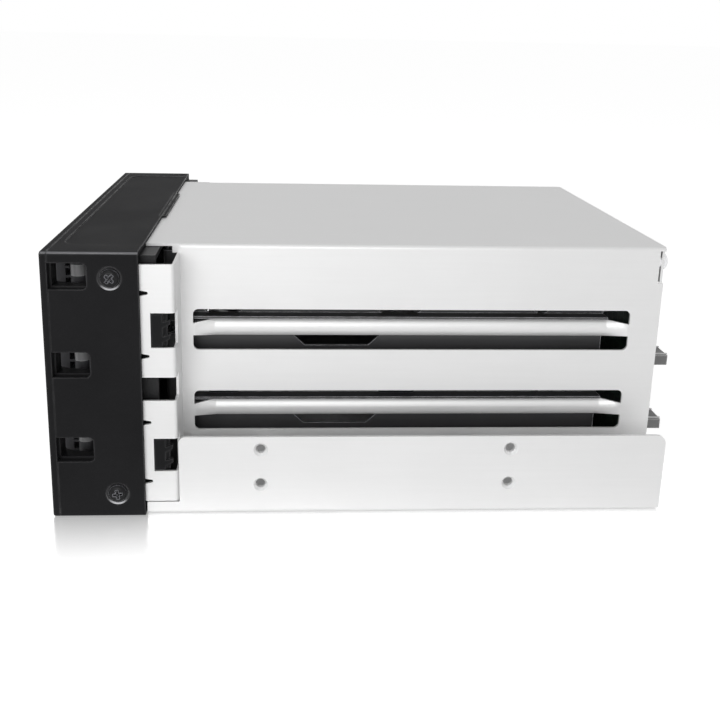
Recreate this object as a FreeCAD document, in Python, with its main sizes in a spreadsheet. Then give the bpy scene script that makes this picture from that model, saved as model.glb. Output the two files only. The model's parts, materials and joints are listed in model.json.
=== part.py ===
import FreeCAD
import Part
import Sketcher

import math
import os
import re

# Hot swap drive cage for two stacked 5.25 inch bays, with three sliding trays for 3.5 inch drives.
# X is the width, Y the depth (the front looks along -Y) and Z points up from the underside.
# The origin lies on the underside, halfway between the front and the rear edge of the base.

doc = FreeCAD.newDocument("DriveCage")

SIZES = {
    # Overall body
    "body_depth": 194.0,
    "bezel_width": 149.0,
    "bezel_height": 85.6,
    "bezel_depth": 28.6,
    "bezel_wall": 1.5,
    "bezel_corner": 1.2,
    "frame_depth": 2.2,
    "frame_lip": 1.0,
    "frame_lip_level": 0.1,
    # Steel cover
    "cover_width": 116.0,
    "cover_height": 84.4,
    "cover_gauge": 0.8,
    "bend_radius": 0.5,
    "flange_width": 146.0,
    "flange_setback": 38.2,
    "flange_bottom": 4.6,
    "flange_top": 81.5,
    "wall_lead": 1.5,
    "tab_reach": 13.6,
    "tab_upper_low": 72.7,
    "tab_lower_high": 11.4,
    "slit_height": 0.7,
    "slit_depth": 2.1,
    "latch_window_depth": 6.7,
    "latch_window_height": 11.0,
    "latch_window_low": 14.8,
    "latch_window_high": 55.5,
    "step_cut": 5.5,
    "flange_gap_low": 38.4,
    "flange_gap_high": 46.0,
    "rear_lip_drop": 11.9,
    "rear_notch": 1.9,
    "foot_lip": 8.0,
    "foot_margin": 8.0,
    # Guide slots and ribs
    "bay_pitch": 27.6,
    "bay_floor": 1.15,
    "slot_front_margin": 4.5,
    "slot_rear_margin": 9.8,
    "slot_height": 13.6,
    "slot_corner": 1.8,
    "rib_half": 2.8,
    "rib_end_half": 2.0,
    "rib_press": 1.9,
    "rib_crown": 1.2,
    "rib_shoulder": 7.0,
    # Steel base
    "base_gauge": 1.0,
    "base_side": 26.2,
    "base_corner_front": 2.0,
    "base_corner_rear": 3.0,
    "seam_gap": 0.4,
    "step_seam": 0.1,
    "base_lip": 9.0,
    "bead_width": 3.9,
    "bolt_spacing": 79.25,
    "bolt_row_spacing": 11.84,
    "bolt_row_low": 10.0,
    "bolt_centre": 7.2,
    "bolt_hole_radius": 1.5,
    "bolt_collar_radius": 2.5,
    "bolt_collar_depth": 1.2,
    "bolt_round": 0.25,
    # Bezel details
    "side_window_low": 17.8,
    "side_window_height": 8.0,
    "side_window_depth": 11.3,
    "side_window_corner": 1.5,
    "bezel_screw_inset": 20.2,
    "bezel_screw_edge": 8.0,
    "bezel_screw_recess": 0.7,
    "panel_depth": 0.25,
    "panel_side": 9.0,
    "panel_front": 4.6,
    "panel_corner": 6.0,
    "tongue_gauge": 1.6,
    "tongue_root": 4.0,
    # Screws
    "screw_radius": 1.5,
    "screw_hole_radius": 1.6,
    "screw_head_radius": 2.8,
    "screw_head_height": 1.5,
    "screw_length": 3.6,
    "bezel_screw_length": 1.9,
    "screw_recess_width": 0.8,
    "screw_recess_depth": 0.9,
    "rivet_radius": 1.6,
    "rivet_head_radius": 2.6,
    "rivet_head_height": 0.9,
    # Circuit board and connectors
    "board_gauge": 1.6,
    "board_gap": 3.0,
    "board_half": 56.3,
    "board_low": 2.5,
    "board_high": 82.6,
    "board_screw_side": 3.7,
    "board_screw_edge": 5.4,
    "vent_width": 38.0,
    "vent_height": 7.0,
    "socket_depth": 5.4,
    "socket_width": 42.0,
    "socket_height": 6.4,
    "socket_level": 4.0,
    "plug_reach": 16.8,
    "plug_width": 22.0,
    "plug_height": 4.7,
    "plug_side": 40.0,
    "power_plug_upper_level": 36.7,
    "power_plug_lower_level": 12.5,
    "data_plug_reach": 9.0,
    "data_plug_width": 16.6,
    "data_plug_height": 5.2,
    "data_plug_side": -22.0,
    "data_plug_level": 9.5,
    # Trays
    "face_recess": 0.6,
    "front_clear": 0.6,
    "front_low": 0.75,
    "front_height": 26.4,
    "front_wall": 1.7,
    "front_side_wall": 2.0,
    "front_back_wall": 2.2,
    "neck_clear": 0.7,
    "neck_end": 32.4,
    "lever_gauge": 3.2,
    "lever_clear": 0.3,
    "lever_free": 46.5,
    "hinge_side": 60.0,
    "hinge_back": 7.5,
    "knuckle_clear": 0.4,
    "hinge_relief_width": 5.5,
    "hinge_relief_depth": 2.2,
    "pin_radius": 1.2,
    "pin_clear": 0.05,
    "boss_radius": 2.4,
    "boss_split_low": 18.5,
    "boss_split_high": 22.0,
    "rib_gauge": 0.8,
    "vent_pitch": 4.6,
    "spring_wire": 0.5,
    "coil_clear": 0.3,
    "lever_spring_turns": 3.0,
    "button_spring_turns": 5.0,
    "lever_slot_width": 2.4,
    "lever_slot_margin": 4.5,
    "lever_field": 1.4,
    "hinge_rib_pitch": 3.0,
    "hinge_rib_first": 5.4,
    "lever_tongue_reach": 5.2,
    "catch_half": 3.0,
    "button_width": 11.5,
    "button_height": 12.0,
    "button_side": 61.3,
    "button_proud": 0.4,
    "button_flange": 1.0,
    "button_travel": 2.0,
    "peg_radius": 1.3,
    "button_spring_length": 8.0,
    "seat_gauge": 1.6,
    "pipe_radius": 1.0,
    "pipe_side": 53.3,
    "pipe_level_low": 17.0,
    "pipe_level_high": 20.5,
    "pipe_clear": 0.05,
    "rail_inner": 51.0,
    "rail_gauge": 0.8,
    "rail_low": 0.75,
    "rail_high": 24.3,
    "rail_rear": 80.5,
    "runner_side": 56.4,
    "runner_clear": 0.3,
    "runner_lead": 6.0,
    "drive_seat": 0.9,
    "drive_rear": 86.0,
    "window_radius": 3.5,
    "drive_hole_level": 6.35,
    "post_radius": 2.8,
    "post_side": 40.0,
    "post_low": 7.0,
    "post_high": 20.0,
    "post_hole_radius": 1.3,
    "tray_screw_radius": 1.2,
    "tray_screw_length": 5.0,
    "tray_screw_head": 2.4,
    "clip_level": 68.0,
}

sheet = doc.addObject("Spreadsheet::Sheet", "Sizes")
for row, (alias, size) in enumerate(SIZES.items(), start=1):
    sheet.set("A%d" % row, alias)
    sheet.set("B%d" % row, str(size))
    sheet.setAlias("B%d" % row, alias)
doc.recompute()

# Levels and planes that several pieces share, as formulas of the sheet's sizes
FRONT = "(-body_depth / 2)"
REAR = "(body_depth / 2)"
FRAME_BACK = "(%s + frame_depth)" % FRONT
SLEEVE_BACK = "(%s + bezel_depth)" % FRONT
STEP = "(%s + flange_setback)" % FRONT
BASE_FRONT = "(%s + cover_gauge + step_seam)" % STEP
COVER_HALF = "(cover_width / 2)"
COVER_INNER = "(cover_width / 2 - cover_gauge)"
FLANGE_HALF = "(flange_width / 2)"
BEZEL_HALF = "(bezel_width / 2)"
SLEEVE_INNER = "(bezel_width / 2 - bezel_wall)"
SLOT_FRONT = "(%s + slot_front_margin)" % STEP
SLOT_REAR = "(%s - slot_rear_margin)" % REAR
BEAD_TOP = "(bay_floor + rib_half)"
FACE = "(%s + face_recess)" % FRONT
FRONT_HALF = "(flange_width / 2 - cover_gauge - front_clear)"
FRONT_TOP = "(front_low + front_height)"
WIDE_BACK = "(%s - tongue_root - seam_gap * 2)" % SLEEVE_BACK
TONGUE_IN = "(flange_width / 2 - cover_gauge - 0.3 - tongue_gauge)"
NECK_HALF = "(%s - neck_clear)" % TONGUE_IN
NECK_BACK = "(%s + neck_end)" % FACE
LEVER_BACK = "(%s + lever_clear + lever_gauge)" % FACE
POCKET_BACK = "(%s + lever_clear)" % LEVER_BACK
WALL_BACK = "(%s + front_back_wall)" % POCKET_BACK
LEVER_LOW = "(front_low + front_wall + lever_clear)"
LEVER_HIGH = "(front_low + front_height - front_wall - lever_clear)"
HINGE_Y = "(%s + hinge_back)" % FACE
KNUCKLE = "(hinge_back - lever_clear)"
BOARD_BACK = "(%s - cover_gauge - board_gap)" % REAR
BOARD_FRONT = "(%s - board_gauge)" % BOARD_BACK
BOARD_SCREW_X = "(%s - board_screw_side + cover_gauge)" % COVER_INNER
BOARD_SCREW_HIGH = "(cover_height - board_screw_edge)"
BOARD_SCREW_LOW = "(base_lip - 4)"
HOLE_LEVEL = "(drive_seat + drive_hole_level)"
LEVER_FACE = "(%s + lever_clear)" % FACE
MIDDLE = "(front_low + front_height / 2)"
BUTTON_BACK = "(%s + lever_clear + button_flange)" % WALL_BACK
SPRING_END = "(%s + button_spring_length)" % BUTTON_BACK
SEAT = "(%s + button_travel + lever_clear)" % SPRING_END
RAIL_OUTER = "(rail_inner + rail_gauge)"

BAYS = ["lower", "middle", "upper"]


def bay_level(bay):
    """Give the height of one bay's rib centre line as a formula."""
    return "(bay_floor + %d * bay_pitch)" % BAYS.index(bay)


def formula(text):
    """Turn the size names in a formula into references to the sheet."""
    return re.sub(r"[a-z_]{2,}", lambda match: "Sizes." + match.group(0), str(text))


def new_body(label):
    """Start a body with its own label."""
    body = doc.addObject("PartDesign::Body", label)
    body.Label = label
    return body


def origin_feature(body, role):
    """Find one of the body's own origin planes or axes."""
    return [feature for feature in body.Origin.OriginFeatures if feature.Role == role][0]


def new_sketch(body, plane, name, level):
    """Attach a sketch to an origin plane, moved along that plane's normal by a formula."""
    sketch = body.newObject("Sketcher::SketchObject", name)
    sketch.AttachmentSupport = [(origin_feature(body, plane + "_Plane"), "")]
    sketch.MapMode = "FlatFace"
    sketch.setExpression(".AttachmentOffset.Base.z", formula(level))
    return sketch


def value(sketch, text):
    """Give a formula's present value."""
    return float(sketch.evalExpression(formula(text)))


def pin_point(sketch, edge, end, across, along):
    """Tie one end of an edge to its place with two formulas."""
    for kind, text in (("DistanceX", across), ("DistanceY", along)):
        place_at = value(sketch, text)
        number = sketch.addConstraint(Sketcher.Constraint(kind, -1, 1, edge, end, place_at))
        sketch.setExpression("Constraints[%d]" % number, formula(text))


def line_between(start, end):
    """Make a straight edge between two plane points."""
    return Part.LineSegment(FreeCAD.Vector(start[0], start[1], 0), FreeCAD.Vector(end[0], end[1], 0))


def arc_about(centre, start, end, radius):
    """Make the shorter arc between two points and say which end comes first."""
    first = math.atan2(start[1] - centre[1], start[0] - centre[0])
    last = math.atan2(end[1] - centre[1], end[0] - centre[0])
    turn = (last - first) % (2 * math.pi)
    circle = Part.Circle(FreeCAD.Vector(centre[0], centre[1], 0), FreeCAD.Vector(0, 0, 1), radius)
    if turn < math.pi:
        return Part.ArcOfCircle(circle, first, first + turn), True
    return Part.ArcOfCircle(circle, last, last + 2 * math.pi - turn), False


def outline(sketch, corners):
    """Draw a closed outline; a corner with a third formula is rounded to that radius."""
    places = [(value(sketch, corner[0]), value(sketch, corner[1])) for corner in corners]
    count = len(corners)
    stops = []
    for index, corner in enumerate(corners):
        here = places[index]
        if len(corner) == 2:
            stops.append([(corner[0], corner[1], here)])
            continue
        radius = value(sketch, corner[2])
        pair = []
        for other in (places[index - 1], places[(index + 1) % count]):
            span = math.hypot(other[0] - here[0], other[1] - here[1])
            step = ((other[0] - here[0]) / span, (other[1] - here[1]) / span)
            across = "%s + (%.0f) * %s" % (corner[0], step[0], corner[2])
            along = "%s + (%.0f) * %s" % (corner[1], step[1], corner[2])
            pair.append((across, along, (here[0] + step[0] * radius, here[1] + step[1] * radius)))
        stops.append(pair)
    for index, stop in enumerate(stops):
        if len(stop) == 2:
            here = places[index]
            start = stop[0][2]
            end = stop[1][2]
            centre = (start[0] + end[0] - here[0], start[1] + end[1] - here[1])
            radius = value(sketch, corners[index][2])
            arc, forward = arc_about(centre, start, end, radius)
            edge = sketch.addGeometry(arc, False)
            pin_point(sketch, edge, 1 if forward else 2, stop[0][0], stop[0][1])
            pin_point(sketch, edge, 2 if forward else 1, stop[1][0], stop[1][1])
            number = sketch.addConstraint(Sketcher.Constraint("Radius", edge, radius))
            sketch.setExpression("Constraints[%d]" % number, formula(corners[index][2]))
        leaving = stop[-1]
        arriving = stops[(index + 1) % count][0]
        edge = sketch.addGeometry(line_between(leaving[2], arriving[2]), False)
        pin_point(sketch, edge, 1, leaving[0], leaving[1])
        pin_point(sketch, edge, 2, arriving[0], arriving[1])


def circles(sketch, centres, radius):
    """Draw equal circles about the given centres."""
    size = value(sketch, radius)
    for across, along in centres:
        centre = FreeCAD.Vector(value(sketch, across), value(sketch, along), 0)
        edge = sketch.addGeometry(Part.Circle(centre, FreeCAD.Vector(0, 0, 1), size), False)
        pin_point(sketch, edge, 3, across, along)
        number = sketch.addConstraint(Sketcher.Constraint("Radius", edge, size))
        sketch.setExpression("Constraints[%d]" % number, formula(radius))


def sketch_level(plane, low, high, cut):
    """Give the sketch's place along its plane's normal, so that it fills low to high."""
    if plane == "XZ":
        return "-(%s)" % (low if cut else high)
    return high if cut else low


def extrude(body, plane, name, shapes, low, high, cut=False):
    """Pad or cut a sketch between two levels along the axis that the plane lacks."""
    sketch = new_sketch(body, plane, name + "_sketch", sketch_level(plane, low, high, cut))
    for kind, data in shapes:
        if kind == "outline":
            outline(sketch, data)
        else:
            circles(sketch, data[0], data[1])
    kind = "PartDesign::Pocket" if cut else "PartDesign::Pad"
    feature = body.newObject(kind, name)
    feature.Profile = sketch
    feature.setExpression("Length", formula("%s - (%s)" % (high, low)))
    body.Tip = feature
    return feature


def block(body, name, x_pair, y_pair, z_pair, cut=False):
    """Pad or cut a plain block between pairs of formulas."""
    corners = rectangle(x_pair, y_pair)
    return extrude(body, "XY", name, [("outline", corners)], z_pair[0], z_pair[1], cut)


def rectangle(across, along, corner=None):
    """Give the four corners of a rectangle, rounded if a radius is given."""
    corners = [(across[0], along[0]), (across[1], along[0]), (across[1], along[1]), (across[0], along[1])]
    if corner is None:
        return corners
    return [(x, y, corner) for x, y in corners]


def mirror(body, name, features):
    """Repeat features on the other side of the middle plane."""
    copy = body.newObject("PartDesign::Mirrored", name)
    copy.Originals = features
    copy.MirrorPlane = (origin_feature(body, "YZ_Plane"), [""])
    body.Tip = copy
    return copy


def repeat(body, name, features, role, pitch, count):
    """Repeat features in a row along one of the body's own axes."""
    row = body.newObject("PartDesign::LinearPattern", name)
    row.Originals = features
    row.Direction = (origin_feature(body, role), [""])
    row.Mode = "Spacing"
    row.Occurrences = count
    row.setExpression("Offset", formula(pitch))
    body.Tip = row
    return row


def round_edges(body, name, radius, choose):
    """Round the edges of the present shape that the test picks."""
    doc.recompute()
    base = body.Tip
    names = []
    for number, edge in enumerate(base.Shape.Edges, start=1):
        if choose(edge):
            names.append("Edge%d" % number)
    feature = body.newObject("PartDesign::Fillet", name)
    feature.Base = (base, names)
    feature.setExpression("Radius", formula(radius))
    body.Tip = feature
    return feature


def near(first, second):
    """Say whether two numbers agree to a hundredth of a millimetre."""
    return abs(first - second) < 0.01


def is_line_along(edge, axis):
    """Say whether an edge is straight along the axis numbered 0, 1 or 2."""
    if len(edge.Vertexes) != 2 or not isinstance(edge.Curve, Part.Line):
        return False
    step = edge.Vertexes[1].Point - edge.Vertexes[0].Point
    return near(abs(step[axis]), edge.Length)


def place(body, x="0", y="0", z="0"):
    """Put a finished body at its place in the cage."""
    for axis, text in (("x", x), ("y", y), ("z", z)):
        if text != "0":
            body.setExpression(".Placement.Base.%s" % axis, formula(text))


def crescent(sketch, middle, half, centre, crown):
    """Draw the section of a crowned strip: two arcs joined by short ends."""
    outer = value(sketch, middle)
    reach = value(sketch, half)
    rise = value(sketch, crown)
    level = value(sketch, centre)
    radius = (reach * reach + rise * rise) / (2 * rise)
    swing = math.asin(reach / radius)
    radius_text = "((%s) * (%s) + (%s) * (%s)) / (2 * (%s))" % (half, half, crown, crown, crown)
    low_text = "%s - (%s)" % (centre, half)
    high_text = "%s + (%s)" % (centre, half)
    for step in ("0", "cover_gauge"):
        side = "%s - (%s) - (%s)" % (middle, crown, step)
        inner = value(sketch, step)
        axis = FreeCAD.Vector(outer - inner - radius, level, 0)
        circle = Part.Circle(axis, FreeCAD.Vector(0, 0, 1), radius)
        edge = sketch.addGeometry(Part.ArcOfCircle(circle, -swing, swing), False)
        pin_point(sketch, edge, 1, side, low_text)
        pin_point(sketch, edge, 2, side, high_text)
        number = sketch.addConstraint(Sketcher.Constraint("Radius", edge, radius))
        sketch.setExpression("Constraints[%d]" % number, formula(radius_text))
    for text in (low_text, high_text):
        far = (outer - rise, value(sketch, text))
        near_end = (outer - rise - value(sketch, "cover_gauge"), value(sketch, text))
        edge = sketch.addGeometry(line_between(far, near_end), False)
        pin_point(sketch, edge, 1, "%s - (%s)" % (middle, crown), text)
        pin_point(sketch, edge, 2, "%s - (%s) - cover_gauge" % (middle, crown), text)


def build_cover():
    """Bent steel cover: top, two slotted sides with lanced ribs, front flanges and rear lip."""
    body = new_body("cage_shell")
    outer_bend = "(cover_gauge + bend_radius)"
    profile = [
        ("-" + COVER_HALF, "base_gauge"),
        ("-" + COVER_HALF, "cover_height", outer_bend),
        (COVER_HALF, "cover_height", outer_bend),
        (COVER_HALF, "base_gauge"),
        (COVER_INNER, "base_gauge"),
        (COVER_INNER, "cover_height - cover_gauge", "bend_radius"),
        ("-" + COVER_INNER, "cover_height - cover_gauge", "bend_radius"),
        ("-" + COVER_INNER, "base_gauge"),
    ]
    extrude(body, "XZ", "cover_bend", [("outline", profile)], STEP, REAR)
    roof = ("cover_height - cover_gauge", "cover_height")
    block(body, "front_roof", ("-" + COVER_HALF, COVER_HALF), (SLEEVE_BACK, STEP + " + 1"), roof)
    lead = block(body, "wall_lead_strip", (COVER_INNER, COVER_HALF), (STEP + " - wall_lead", STEP + " + 1"),
                 ("flange_top", "cover_height - cover_gauge / 2"))
    shoulder = [
        (COVER_INNER, STEP),
        (FLANGE_HALF + " - cover_gauge", STEP),
        (FLANGE_HALF + " - cover_gauge", SLEEVE_BACK),
        (FLANGE_HALF, SLEEVE_BACK),
        (FLANGE_HALF, STEP + " + cover_gauge", outer_bend),
        (COVER_INNER, STEP + " + cover_gauge"),
    ]
    flange = extrude(body, "XY", "side_flange", [("outline", shoulder)], "flange_bottom", "flange_top")
    tab_x = (FLANGE_HALF + " - cover_gauge", FLANGE_HALF)
    tab_y = (SLEEVE_BACK + " - tab_reach", SLEEVE_BACK + " + 1")
    tab_low = block(body, "screw_tab_low", tab_x, tab_y, ("flange_bottom", "tab_lower_high"))
    tab_high = block(body, "screw_tab_high", tab_x, tab_y, ("tab_upper_low", "flange_top"))
    foot_y = (STEP + " + foot_margin", REAR + " - foot_margin")
    foot = block(body, "foot_lip_strip", (COVER_INNER, COVER_HALF + " + foot_lip"), foot_y,
                 ("base_gauge", "base_gauge + cover_gauge"))
    mirror(body, "other_side", [lead, flange, tab_low, tab_high, foot])
    cut_x = ("-" + FLANGE_HALF + " - 1", FLANGE_HALF + " + 1")
    windows = []
    for low in ("latch_window_low", "latch_window_high"):
        windows.append(("outline", rectangle((STEP + " - latch_window_depth", STEP + " + cover_gauge + 1"),
                                             (low, low + " + latch_window_height"))))
    windows.append(("outline", rectangle((SLEEVE_BACK + " - 1", STEP + " + cover_gauge + 1"),
                                         ("flange_gap_low", "flange_gap_high"))))
    side = (FLANGE_HALF + " - step_cut", cut_x[1])
    window_cut = extrude(body, "YZ", "flange_windows", windows, side[0], side[1], cut=True)
    slits = []
    for middle in ("tab_upper_low", "latch_window_high - 2.7", "latch_window_low + 16.4", "tab_lower_high"):
        slit_z = (middle + " - slit_height / 2", middle + " + slit_height / 2")
        slit_y = (SLEEVE_BACK + " - 0.3", SLEEVE_BACK + " + slit_depth")
        slits.append(("outline", rectangle(slit_y, slit_z)))
    slit_cut = extrude(body, "YZ", "relief_slits", slits, side[0], side[1], cut=True)
    hole_y = FRONT + " + bezel_screw_inset"
    tab_holes = [(hole_y, "bezel_screw_edge"), (hole_y, "bezel_height - bezel_screw_edge")]
    hole_cut = extrude(body, "YZ", "tab_holes", [("circles", (tab_holes, "screw_hole_radius"))],
                       side[0], side[1], cut=True)
    mirror(body, "other_side_cuts", [window_cut, slit_cut, hole_cut])
    slots = []
    for bay in BAYS[1:]:
        centre = bay_level(bay)
        slots.append(("outline", rectangle((SLOT_FRONT, SLOT_REAR), (centre + " - slot_height / 2",
                                           centre + " + slot_height / 2"), "slot_corner")))
    extrude(body, "YZ", "guide_slots", slots, cut_x[0], cut_x[1], cut=True)
    notch_z = ("cover_height - rear_lip_drop", "cover_height - cover_gauge - bend_radius")
    notch = block(body, "rear_notch_cut", (COVER_INNER + " - 0.01", COVER_HALF + " + 1"),
                  (REAR + " - rear_notch", REAR + " + 1"), notch_z, cut=True)
    mirror(body, "other_notch", [notch])
    lip_x = ("-%s + seam_gap" % COVER_INNER, COVER_INNER + " - seam_gap")
    block(body, "rear_lip", lip_x, (REAR + " - cover_gauge", REAR),
          ("cover_height - rear_lip_drop", "cover_height - cover_gauge / 2"))
    screws = [spot for spot in board_spots() if spot[1] == BOARD_SCREW_HIGH]
    extrude(body, "XZ", "rear_lip_holes", [("circles", (screws, "screw_hole_radius"))],
            REAR + " - cover_gauge - 1", REAR + " + 1", cut=True)
    ribs = []
    for bay in BAYS[1:]:
        ribs += guide_rib(body, bay)
    mirror(body, "other_ribs", ribs)
    rivets = [("(%s) + foot_lip / 2" % COVER_HALF, "%s + foot_margin * 2" % STEP),
              ("(%s) + foot_lip / 2" % COVER_HALF, "%s - foot_margin * 2" % REAR)]
    rivet_cut = extrude(body, "XY", "rivet_holes", [("circles", (rivets, "rivet_radius"))],
                        "base_gauge - 1", "base_gauge + cover_gauge + 1", cut=True)
    mirror(body, "other_rivet_holes", [rivet_cut])
    return body


def guide_rib(body, bay):
    """Crowned strip pressed inwards from the wall, with a shoulder at each end of its slot."""
    centre = bay_level(bay)
    middle = COVER_HALF + " - rib_press"
    start = "(%s + rib_shoulder)" % SLOT_FRONT
    end = "(%s - rib_shoulder)" % SLOT_REAR
    strip_sketch = new_sketch(body, "XZ", "rib_%s_sketch" % bay, "-(%s)" % end)
    crescent(strip_sketch, middle, "rib_half", centre, "rib_crown")
    strip = body.newObject("PartDesign::Pad", "rib_%s" % bay)
    strip.Profile = strip_sketch
    strip.setExpression("Length", formula("%s - (%s)" % (end, start)))
    body.Tip = strip
    features = [strip]
    for side, flat, crowned in (("front", SLOT_FRONT, start), ("rear", SLOT_REAR, end)):
        name = "rib_%s_%s" % (bay, side)
        root = new_sketch(body, "XZ", name + "_root", "-(%s)" % flat)
        outline(root, rectangle((COVER_INNER, COVER_HALF),
                                (centre + " - rib_end_half", centre + " + rib_end_half")))
        top = new_sketch(body, "XZ", name + "_top", "-(%s)" % crowned)
        crescent(top, middle, "rib_half", centre, "rib_crown")
        loft = body.newObject("PartDesign::AdditiveLoft", name)
        loft.Profile = root if side == "front" else top
        loft.Sections = [top if side == "front" else root]
        loft.Ruled = True
        body.Tip = loft
        features.append(loft)
    return features


def build_base():
    """Bent steel base with tall drilled sides, a rear lip and two pressed guide beads."""
    body = new_body("base_tray")
    inner = FLANGE_HALF + " - base_gauge"
    outer_bend = "(base_gauge + bend_radius)"

    def channel(height):
        return [
            ("-" + FLANGE_HALF, height),
            ("-" + FLANGE_HALF, "0", outer_bend),
            (FLANGE_HALF, "0", outer_bend),
            (FLANGE_HALF, height),
            (inner, height),
            (inner, "base_gauge", "bend_radius"),
            ("-(%s)" % inner, "base_gauge", "bend_radius"),
            ("-(%s)" % inner, height),
        ]

    extrude(body, "XZ", "channel", [("outline", channel("base_side"))], BASE_FRONT, REAR)
    strip_high = "flange_bottom - seam_gap"
    extrude(body, "XZ", "front_strip", [("outline", channel(strip_high))],
            SLEEVE_BACK + " + seam_gap", BASE_FRONT + " + 1")
    block(body, "rear_lip", ("-(%s - seam_gap)" % COVER_INNER, COVER_INNER + " - seam_gap"),
          (REAR + " - base_gauge", REAR), ("base_gauge / 2", "base_lip"))
    bead_outer = "(%s - 0.3)" % COVER_INNER
    bead_inner = "(%s - 0.3 - bead_width)" % COVER_INNER
    bead = [
        (bead_inner, "base_gauge / 2"),
        (bead_outer, "base_gauge / 2"),
        (bead_outer, BEAD_TOP, "1"),
        (bead_inner, BEAD_TOP, "1"),
    ]
    raised = extrude(body, "XZ", "bead", [("outline", bead)], SLOT_FRONT, SLOT_REAR)
    groove = block(body, "bead_groove", (bead_inner + " + base_gauge", bead_outer + " - base_gauge"),
                   (SLOT_FRONT + " + base_gauge", SLOT_REAR + " - base_gauge"),
                   ("-1", BEAD_TOP + " - base_gauge"), cut=True)
    holes = []
    for along in ("-", "+"):
        for level in ("bolt_row_low", "bolt_row_low + bolt_row_spacing"):
            holes.append(("bolt_centre %s bolt_spacing / 2" % along, level))
    collars = extrude(body, "YZ", "bolt_collars", [("circles", (holes, "bolt_collar_radius"))],
                      inner + " - bolt_collar_depth", FLANGE_HALF + " - base_gauge / 2")
    bores = extrude(body, "YZ", "bolt_holes", [("circles", (holes, "bolt_hole_radius"))],
                    inner + " - bolt_collar_depth - 1", FLANGE_HALF + " + 1", cut=True)
    rivets = [("(%s) + foot_lip / 2" % COVER_HALF, "%s + foot_margin * 2" % STEP),
              ("(%s) + foot_lip / 2" % COVER_HALF, "%s - foot_margin * 2" % REAR)]
    rivet_cut = extrude(body, "XY", "rivet_holes", [("circles", (rivets, "rivet_radius"))],
                        "-1", "base_gauge + 1", cut=True)
    mirror(body, "other_side", [raised, groove, collars, bores, rivet_cut])
    screws = [spot for spot in board_spots() if spot[1] == BOARD_SCREW_LOW]
    extrude(body, "XZ", "rear_lip_holes", [("circles", (screws, "screw_hole_radius"))],
            REAR + " - base_gauge - 1", REAR + " + 1", cut=True)
    half = SIZES["flange_width"] / 2
    rear = SIZES["body_depth"] / 2
    start = -rear + SIZES["flange_setback"] + SIZES["cover_gauge"] + SIZES["step_seam"]
    side = SIZES["base_side"]

    def corner_at(y):
        return lambda edge: (is_line_along(edge, 0) and near(edge.Vertexes[0].Point.y, y)
                             and near(edge.Vertexes[0].Point.z, side))

    round_edges(body, "front_corners", "base_corner_front", corner_at(start))
    round_edges(body, "rear_corners", "base_corner_rear", corner_at(rear))
    round_edges(body, "hole_lips", "bolt_round",
                lambda edge: isinstance(edge.Curve, Part.Circle)
                and near(edge.Curve.Radius, SIZES["bolt_hole_radius"])
                and near(abs(edge.Curve.Center.x), half))
    return body


def bezel_ring(body, name, low, high):
    """Outer outline of the bezel between two planes along Y."""
    outer = rectangle(("-" + BEZEL_HALF, BEZEL_HALF), ("0", "bezel_height"), "bezel_corner")
    return extrude(body, "XZ", name, [("outline", outer)], low, high)


def build_sleeve():
    """Moulded sleeve behind the front frame, with side windows, screw seats and latch tongues."""
    body = new_body("bezel_sleeve")
    bezel_ring(body, "sleeve", FRAME_BACK, SLEEVE_BACK)
    hollow = rectangle(("-" + SLEEVE_INNER, SLEEVE_INNER), ("bezel_wall", "bezel_height - bezel_wall"))
    extrude(body, "XZ", "hollow", [("outline", hollow)], FRAME_BACK + " - 1", SLEEVE_BACK + " + 1", cut=True)
    window_y = (FRAME_BACK + " - 3", FRAME_BACK + " + side_window_depth")
    windows = []
    for bay in BAYS:
        low = bay_level(bay) + " + side_window_low"
        window_z = (low, low + " + side_window_height")
        windows.append(("outline", rectangle(window_y, window_z, "side_window_corner")))
    across = ("-%s - 1" % BEZEL_HALF, BEZEL_HALF + " + 1")
    extrude(body, "YZ", "side_windows", windows, across[0], across[1], cut=True)
    hole_y = FRONT + " + bezel_screw_inset"
    seats = [(hole_y, "bezel_screw_edge"), (hole_y, "bezel_height - bezel_screw_edge")]
    extrude(body, "YZ", "screw_holes", [("circles", (seats, "screw_hole_radius"))],
            across[0], across[1], cut=True)
    seat = extrude(body, "YZ", "screw_seats", [("circles", (seats, "screw_head_radius + 0.4"))],
                   BEZEL_HALF + " - bezel_screw_recess", across[1], cut=True)
    mirror(body, "other_seats", [seat])
    panel_front = "(%s + panel_front)" % FRONT
    panel_half = "(%s - panel_side)" % BEZEL_HALF
    panel = [
        ("-" + panel_half, SLEEVE_BACK + " + 1"),
        ("-" + panel_half, panel_front, "panel_corner"),
        (panel_half, panel_front, "panel_corner"),
        (panel_half, SLEEVE_BACK + " + 1"),
    ]
    extrude(body, "XY", "top_panel", [("outline", panel)],
            "bezel_height - panel_depth", "bezel_height + 1", cut=True)
    tongues = []
    for low in ("latch_window_low", "latch_window_high"):
        tongues.append(latch_tongue(body, low))
    mirror(body, "other_tongues", [feature for pair in tongues for feature in pair])
    return body


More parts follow.
